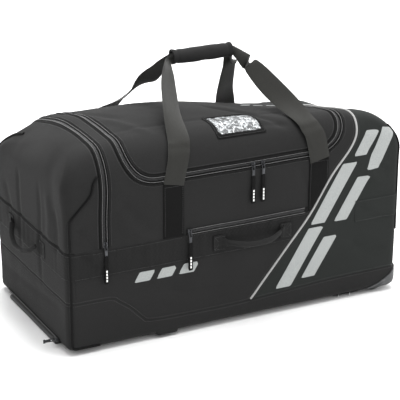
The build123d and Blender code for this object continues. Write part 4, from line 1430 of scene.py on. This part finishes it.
# %% Divider and pocket
def flat_sheet(low, high, step, rule, axis, at, thick, wave):
    """A sheet in a plane across the given axis, cut by a rule, with slack in it."""
    u, v = [i for i in range(3) if i != axis]
    nu, nv = int((high[0] - low[0]) / step), int((high[1] - low[1]) / step)
    iu, iv = np.meshgrid(np.linspace(low[0], high[0], nu + 1), np.linspace(low[1], high[1], nv + 1), indexing="ij")
    points = np.zeros((iu.size, 3))
    points[:, u], points[:, v], points[:, axis] = iu.ravel(), iv.ravel(), at
    ids = np.arange(iu.size).reshape(iu.shape)
    quads = np.stack([ids[:-1, :-1], ids[1:, :-1], ids[1:, 1:], ids[:-1, 1:]], -1).reshape(-1, 4)
    keep = (rule(points)[quads] <= 0).all(1)
    quads = quads[keep]
    triangles = np.concatenate([quads[:, [0, 1, 2]], quads[:, [0, 2, 3]]])
    used, place = np.unique(triangles, return_inverse=True)
    points, triangles = points[used], place.reshape(triangles.shape)
    shift = np.zeros_like(points)
    shift[:, axis] = thick / 2
    slack = np.zeros_like(points)
    slack[:, axis] = wave * noise(points, 90, 61) + wave * 0.4 * noise(points, 40, 62)
    solid, faces, _ = thicken(points, triangles, points + slack + shift, points + slack - shift)
    return outward(solid, faces.tolist(), [tuple(solid[i][[u, v]] * MM) for face in faces for i in face])


def inner_room(p):
    return bag_distance(p) + 9


divider_low, divider_high = bag_box("divider_panel")
divider_x = (divider_low[0] + divider_high[0]) / 2
spots, faces, weave = flat_sheet((FRONT, 14), (-FRONT, 470), 6, inner_room, 0, divider_x, 1.2, 0.8)
made = piece("divider_cloth", spots, faces, LINING, "root", "lining", ["divider_panel"], weave=weave)
pouch_low, pouch_high = bag_box("pocket_pouch")
spots, faces, weave = flat_sheet((pouch_low[0], pouch_low[2]), (pouch_high[0], pouch_high[2]), 6,
                                 lambda p: p[:, 0] * 0 - 1, 1, pouch_low[1] + 2.2, 1.0, 0.6)
made = piece("pocket_lining_cloth", spots, faces, LINING, "root", "lining", ["pocket_pouch"], weave=weave)

# %% [markdown]
# ## Sliders and pulls
# A slider is a cast shell with a bridge, and its tab hangs from the bridge by an eye. Beyond the tab is a
# soft moulded grip. The five sliders share one shape, set in place by each slider's own box; the marks on
# the grips are three plain bars.

# %% Sliders and pulls
def slider_shape():
    shell_back = slab((9.4, 1.9, 14), (0, -0.95, 0), bevel=0.8, taper=0.72)
    shell_front = slab((9.4, 1.9, 14), (0, -4.05, 0), bevel=0.8, taper=0.72)
    post = slab((3.2, 3.2, 5), (0, -2.5, 3.2), bevel=0.4)
    t = np.linspace(0, math.pi, 15)
    arch = np.stack([0 * t, -5.0 - 4.2 * np.sin(t) ** 0.7, -5.6 * np.cos(t)], 1)
    bridge = lofted(tube(arch, 1.35, sides=8, squeeze=0.8, facing=np.tile([1.0, 0, 0], (15, 1))))
    return joined([shell_back, shell_front, post, bridge])


def pull_shapes(length):
    """The metal tab, and the soft grip and its marks if the pull is long enough to have them."""
    rails = [slab((1.3, 1.5, 9.5), (side * 3.0, 0, -4.6), bevel=0.4) for side in (-1, 1)]
    head = slab((7.2, 1.5, 1.5), (0, 0, 0), bevel=0.5)
    blade = slab((7.4, 1.6, 17), (0, 0, -17.5), bevel=0.6, taper=0.8)
    tab = joined(rails + [head, blade])
    if length < 40:
        tip = slab((8.6, 2.4, 5), (0, 0, -24.2), bevel=0.9)
        return joined([tab, tip]), None, None
    count = 40
    t = np.linspace(0, 1, count)
    z = -22 - t * (length - 22)
    half_w = np.interp(t, [0, 0.04, 0.10, 0.30, 0.36, 0.42, 0.96, 1.0], [2.2, 4.0, 4.6, 4.4, 3.4, 5.4, 5.5, 4.2])
    half_t = np.interp(t, [0, 0.04, 0.10, 0.30, 0.36, 0.42, 0.96, 1.0], [1.0, 1.7, 1.9, 1.8, 1.6, 2.0, 2.0, 1.2])
    turn = np.linspace(0, 2 * math.pi, 24, endpoint=False)
    cos, sin = np.cos(turn), np.sin(turn)
    box_cos, box_sin = np.sign(cos) * np.abs(cos) ** 0.45, np.sign(sin) * np.abs(sin) ** 0.45
    level = np.broadcast_to(z[:, None], (count, 24))
    rings = np.stack([half_w[:, None] * box_cos, half_t[:, None] * box_sin, level], -1)
    grip_part = lofted(rings)
    marks = joined([slab((3.4, 0.5, 5.2), (0, -2.05, -length + 8 + 7.2 * i), bevel=0.2) for i in range(4)])
    return tab, grip_part, marks


def facing_end(points):
    """Turns a shape made for the front, with its length upright, to lie along the end wall's base zip."""
    x, y, z = np.asarray(points).T
    return np.stack([y, -z, -x], 1)


PULL_HANG = (0, -6.6, -1.0)
PULL_L, BASE_PULL_L = 88, 26


def put_slider(name, length):
    low, high = bag_box(name + "_slider")
    middle = (low + high) / 2
    base = name == "base"
    place = np.array([high[0], middle[1], middle[2]]) if base else np.array([middle[0], high[1], middle[2]])
    hang = np.array(PULL_HANG)
    spots, faces, weave = slider_shape()
    spots = facing_end(spots) if base else spots
    piece(name + "_slider_body", spots + place, faces, SLIDER_PAINT, name + "_slider", "slider_metal",
          [name + "_slider"], weave=weave)
    tab, grip_part, marks = pull_shapes(length)
    for tag, shape, paint, slot in (
        ("tab", tab, SLIDER_PAINT, "slider_metal"),
        ("grip", grip_part, PULL_RUBBER, "pull"),
        ("marks", marks, PULL_MARK, "pull"),
    ):
        if shape is None:
            continue
        spots, faces, weave = shape
        if base:
            spots = np.stack([spots[:, 0], spots[:, 2], -spots[:, 1]], 1)
            spots = facing_end(spots + hang)
        else:
            spots = spots + hang
        stands_for = [name + "_pull"] if tag == "tab" else ()
        piece(name + "_pull_" + tag, spots + place, faces, paint, name + "_pull", slot, stands_for, weave=weave)


for name, length in (
    ("main_left", PULL_L), ("main_right", PULL_L), ("end", PULL_L), ("pocket", PULL_L), ("base", BASE_PULL_L),
):
    put_slider(name, length)
print("sliders and pulls done")

# %% [markdown]
# ## Coils and stitches
# Zip teeth and stitches repeat hundreds of times along a path, so one Geometry Nodes tree makes them all.
# The script lays out a point for each tooth or stitch, with the path's direction and the cloth's facing
# stored on it; the tree puts a small rounded bead on every point, turned to match. Sizes are named inputs.

# %% A tree that lays beads along a path
def bead_tree():
    tree = bpy.data.node_groups.new("beads_along_a_path", "GeometryNodeTree")
    ask = tree.interface.new_socket
    ask("Geometry", in_out="INPUT", socket_type="NodeSocketGeometry")
    for label, default in (("Length", 0.003), ("Width", 0.0008), ("Height", 0.0008)):
        socket = ask(label, in_out="INPUT", socket_type="NodeSocketFloat")
        socket.default_value = default
    ask("Unevenness", in_out="INPUT", socket_type="NodeSocketFloat").default_value = 0.04
    ask("Seed", in_out="INPUT", socket_type="NodeSocketInt").default_value = 7
    ask("Material", in_out="INPUT", socket_type="NodeSocketMaterial")
    ask("Geometry", in_out="OUTPUT", socket_type="NodeSocketGeometry")
    given = add(tree, "NodeGroupInput").outputs
    bead = add(tree, "GeometryNodeMeshUVSphere", {"Segments": 6, "Rings": 4, "Radius": 0.5}).outputs["Mesh"]
    along, facing = (
        add(tree, "GeometryNodeInputNamedAttribute", {"Name": label}, data_type="FLOAT_VECTOR").outputs["Attribute"]
        for label in ("along", "facing"))
    up = add(tree, "FunctionNodeAlignRotationToVector", {"Vector": facing}, axis="Z").outputs[0]
    lengthwise = {"Rotation": up, "Vector": along}
    turn = add(tree, "FunctionNodeAlignRotationToVector", lengthwise, axis="X", pivot_axis="Z").outputs[0]
    most = add(tree, "ShaderNodeMath", {0: 1.0, 1: given["Unevenness"]}, operation="ADD").outputs[0]
    least = add(tree, "ShaderNodeMath", {0: 1.0, 1: given["Unevenness"]}, operation="SUBTRACT").outputs[0]
    vary = add(tree, "FunctionNodeRandomValue", {"Min": least, "Max": most, "Seed": given["Seed"]}, data_type="FLOAT")
    vary_out = [s for s in vary.outputs if s.enabled][0]
    for socket in vary.inputs:
        if socket.enabled and socket.type == "VALUE" and socket.name in ("Min", "Max"):
            tree.links.new(least if socket.name == "Min" else most, socket)
    size = add(tree, "ShaderNodeCombineXYZ", {0: given["Length"], 1: given["Width"], 2: given["Height"]}).outputs[0]
    sized = add(tree, "ShaderNodeVectorMath", {0: size}, operation="SCALE")
    tree.links.new(vary_out, sized.inputs["Scale"])
    placed = add(tree, "GeometryNodeInstanceOnPoints", {
        "Points": given["Geometry"], "Instance": bead, "Rotation": turn, "Scale": sized.outputs[0]})
    real = add(tree, "GeometryNodeRealizeInstances", {"Geometry": placed.outputs[0]}).outputs[0]
    painted = add(tree, "GeometryNodeSetMaterial", {"Geometry": real, "Material": given["Material"]}).outputs[0]
    add(tree, "NodeGroupOutput", {"Geometry": painted})
    return tree


BEADS = bead_tree()


def beads(name, rows, sizes, paint, body, seed=7):
    """One plain mesh of beads from (points, along, facing) rows in the bag's millimetres."""
    points, along, facing = (np.concatenate([row[i] for row in rows]) for i in range(3))
    mesh = bpy.data.meshes.new(name + "_points")
    mesh.from_pydata(in_frame(points).tolist(), [], [])
    for label, values in (("along", along), ("facing", facing)):
        store = mesh.attributes.new(label, "FLOAT_VECTOR", "POINT").data
        store.foreach_set("vector", np.asarray(values, np.float32).ravel())
    holder = bpy.data.objects.new(name + "_points", mesh)
    bpy.context.scene.collection.objects.link(holder)
    modifier = holder.modifiers.new("beads", "NODES")
    modifier.node_group = BEADS
    values = dict(zip(("Length", "Width", "Height"), (s * MM for s in sizes)))
    values.update(Unevenness=0.05, Seed=seed, Material=paint)
    for item in BEADS.interface.items_tree:
        if item.in_out == "INPUT" and item.name in values:
            modifier[item.identifier] = values[item.name]
    seen = holder.evaluated_get(bpy.context.evaluated_depsgraph_get())
    made = bpy.data.meshes.new_from_object(seen)
    bpy.data.objects.remove(holder)
    made.name = name
    thing = bpy.data.objects.new(name, made)
    bpy.context.scene.collection.objects.link(thing)
    if not made.uv_layers.get("weave"):
        made.uv_layers.new(name="weave")
    made.shade_smooth()
    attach(thing, body)
    print(name, len(points), "beads", len(made.polygons), "faces")
    return thing


def spaced_row(run, pitch, out, aside=0.0, start=0.0, across=False):
    """Points along a traced run, out from the cloth and aside from the line, with their directions."""
    far = np.concatenate([[0], np.cumsum(np.linalg.norm(np.diff(run, axis=0), axis=1))])
    at = np.arange(start + pitch / 2, far[-1], pitch)
    spots = np.stack([np.interp(at, far, run[:, i]) for i in range(3)], 1)
    ahead = np.gradient(run, axis=0)
    ahead = np.stack([np.interp(at, far, ahead[:, i]) for i in range(3)], 1)
    ahead /= np.linalg.norm(ahead, axis=1)[:, None]
    normal = normals_at(spots)
    sideways = np.cross(normal, ahead)
    spots = spots + sideways * aside
    return spots + normal * (relief(spots) + out)[:, None], sideways if across else ahead, normal


# %% Zip coils
TOOTH_PITCH = 3.0


def coil_rows(field, *kept, out, flip=1):
    """Two meshing rows of teeth, one for each side of the zip."""
    low, high = [], []
    for run in trace(field, *kept):
        low.append(spaced_row(run, TOOTH_PITCH, out, aside=-1.3 * flip, across=True))
        high.append(spaced_row(run, TOOTH_PITCH, out, aside=1.3 * flip, start=TOOTH_PITCH / 2, across=True))
    return low, high


def side_of(rows, field):
    """How far on average a set of rows lies on the positive side of a field."""
    return float(np.mean(field(np.concatenate([row[0] for row in rows]))))


def coils(name, field, kept, inner_body, outer_body, out=-0.3):
    one, two = coil_rows(field, *kept, out=out)
    inner, outer = (one, two) if side_of(one, field) < side_of(two, field) else (two, one)
    beads(name + "_coil_inner", inner, (5.6, 1.9, 1.9), NYLON_COIL, inner_body, 11)
    beads(name + "_coil_outer", outer, (5.6, 1.9, 1.9), NYLON_COIL, outer_body, 12)
    # Rows of pale chain stitch on each welt; their pale grey is also a painted highlight along the welts.
    inner, outer = [], []
    for run in trace(field, *kept):
        for aside in (-5.4, 5.4):
            row = spaced_row(run, 3.0, max(out, 0.6) + 1.6, aside=aside)
            (inner if side_of([row], field) < 0 else outer).append(row)
    beads(name + "_coil_stitch_and_highlight_inner", inner, (3.3, 1.3, 1.2), COIL_STITCH_AND_HIGHLIGHT, inner_body, 13)
    beads(name + "_coil_stitch_and_highlight_outer", outer, (3.3, 1.3, 1.2), COIL_STITCH_AND_HIGHLIGHT, outer_body, 14)


coils("main", main_zip, [lid_rear], "lid", "root")
coils("end", lambda p: p[:, 0] - HOOD_X, [above(HOOD_Z + 3)], "end_hood", "root")
pocket_middle, base_middle = sum(POCKET_Z) / 2, sum(BASE_ZIP_Z) / 2
pocket_run = [before(0), right_of(POCKET_X[0] + 6), left_of(POCKET_X[1] - 6)]
base_run = [left_of(-300), behind(BASE_ZIP_Y[0] + 6), before(BASE_ZIP_Y[1] - 6)]
coils("pocket", lambda p: p[:, 2] - pocket_middle, pocket_run, "root", "root", out=1.7)
coils("base", lambda p: p[:, 2] - base_middle, base_run, "root", "root", out=1.5)

# %% Stitches
STITCH_PITCH = 4.6
sewn = {"root": [], "lid": [], "end_hood": []}


def sew(body, field, *kept, out=0.15):
    for run in trace(field, *kept):
        if len(run) > 6:
            sewn[body].append(spaced_row(run, STITCH_PITCH, out))


sew("lid", shifted(main_zip, TAPE + 2.5), lid_rear)
sew("root", shifted(main_zip, -TAPE - 2.5), lid_rear, silver)
sew("end_hood", left_of(HOOD_X - TAPE - 2.5), above(HOOD_Z + 4))
sew("root", left_of(HOOD_X + TAPE + 2.5), above(HOOD_Z + 4), clear_of_lid)
for inset in (-4, 4):
    sew("root", shifted(base_line, inset), clear_of_guard)
for inset in (-6.5, 7.0):
    sew("root", shifted(silver, inset), shifted(base_line, 4, -1), clear_of_lid, left_of(312))
for level in (BAND_Z[0] + 3, BAND_Z[1] - 3):
    sew("root", below(level), shifted(silver, 5), out=1.8)
for level in (RIGHT_BAND_Z[0] + 3, RIGHT_BAND_Z[1] - 3):
    sew("root", below(level), right_of(RIGHT_BAND_X + 2), out=1.4)
for side_rule, top in ((before(0), FRONT_START), (behind(0), REAR_START)):
    for x in STRAP_X:
        for edge in (-21.5, 21.5):
            sew("root", left_of(x + edge), side_rule, above(ANCHOR_Z + 2), below(top - 2), shifted(silver, 6), out=2.75)
        sew("root", below(top - 4), side_rule, right_of(x - 21), left_of(x + 21), shifted(silver, 6), out=2.75)
sew("lid", shifted(window_rule, 2.5), on_top, out=2.1)
for body, rows in sewn.items():
    beads("stitches_" + body, rows, (3.3, 0.75, 0.75), THREAD, body, 21)

# %% Crossed stitches on the handle patches
def patch_stitches(place, turn, half):
    rows = []
    for side in (-1, 1):
        middle, w, h = side * (half + 2 + PATCH_W / 2), PATCH_W / 2 - 3, PATCH_H / 2 - 3
        corners = [(-w, -h), (w, -h), (w, h), (-w, h), (-w, -h), (w, h), (w, -h), (-w, h)]
        for (x0, z0), (x1, z1) in zip(corners[:-1], corners[1:]):
            count = max(3, int(math.hypot(x1 - x0, z1 - z0) / 3.6))
            t = (np.arange(count) + 0.5) / count
            spots = np.stack([middle + x0 + (x1 - x0) * t, np.full(count, LUG_OUT - 4.8), z0 + (z1 - z0) * t], 1)
            ahead = np.tile([x1 - x0, 0, z1 - z0], (count, 1)) / math.hypot(x1 - x0, z1 - z0)
            out = np.tile([0.0, -1.0, 0.0], (count, 1))
            zero = np.zeros(3)
            rows.append(tuple(turned_place(v, at, turn) for v, at in ((spots, place), (ahead, zero), (out, zero))))
    return rows


rows = []
for place, turn, half, _, _ in handles.values():
    rows += patch_stitches(place, turn, half)
beads("stitches_patches", rows, (2.7, 0.7, 0.7), THREAD, "root", 22)

# %% [markdown]
# ## Studio
# A pale floor and a soft white sky, one large light high on the left and a weaker one at the front. The
# floor belongs to the studio, not to the bag. The camera is a long lens far off, as for a catalogue.

# %% Floor, light and camera
WORLD_LIGHT = 0.9
world = bpy.data.worlds.new("studio_sky")
bpy.context.scene.world = world
world.use_nodes = True
world.node_tree.nodes["Background"].inputs["Color"].default_value = (1, 1, 1, 1)
world.node_tree.nodes["Background"].inputs["Strength"].default_value = WORLD_LIGHT

floor_material, _, floor_shader = new_material("studio_floor_white")
floor_shader.inputs["Base Color"].default_value = hex_colour("#f6f6f6")
floor_shader.inputs["Roughness"].default_value = 0.9
floor_mesh = bpy.data.meshes.new("studio_floor")
FLOOR = 30.0
floor_corners = [(-FLOOR, -FLOOR, 0), (FLOOR, -FLOOR, 0), (FLOOR, FLOOR, 0), (-FLOOR, FLOOR, 0)]
floor_mesh.from_pydata(floor_corners, [], [(0, 1, 2, 3)])
floor_mesh.materials.append(floor_material)
floor = bpy.data.objects.new("studio_floor", floor_mesh)
bpy.context.scene.collection.objects.link(floor)
floor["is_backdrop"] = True


def area_light(name, place, aim, size, power):
    light = bpy.data.lights.new(name, "AREA")
    light.shape, light.size, light.energy = "SQUARE", size, power
    thing = bpy.data.objects.new(name, light)
    thing.location = place
    thing.rotation_euler = (Vector(aim) - Vector(place)).to_track_quat("-Z", "Y").to_euler()
    bpy.context.scene.collection.objects.link(thing)


area_light("key_light", (0.1, -0.6, 3.4), (0, 0, 0.3), 1.6, 85)
area_light("top_light", (0.6, 1.6, 3.2), (0, 0, 0.4), 2.2, 120)
area_light("front_light", (2.2, -3.2, 1.6), (0, 0, 0.25), 1.6, 22)

CAMERA_LENS = 149.13
camera_data = bpy.data.cameras.new("camera")
camera_data.sensor_width = 36.0
camera_data.lens = CAMERA_LENS
camera = bpy.data.objects.new("camera", camera_data)
camera.location = (-1.6224, -3.2417, 1.5915)
BACK = Vector((-0.4223, -0.8357, 0.3512))
camera.rotation_euler = (-BACK).to_track_quat("-Z", "Y").to_euler()
camera_data.clip_end = 100
bpy.context.scene.collection.objects.link(camera)
bpy.context.scene.camera = camera
bpy.context.scene.view_settings.view_transform = "Standard"

# %% [markdown]
# ## The size
# The cloth may stand a little proud of the frame's box, so the finished bag's box is measured.

# %% Sizes
low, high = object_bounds()
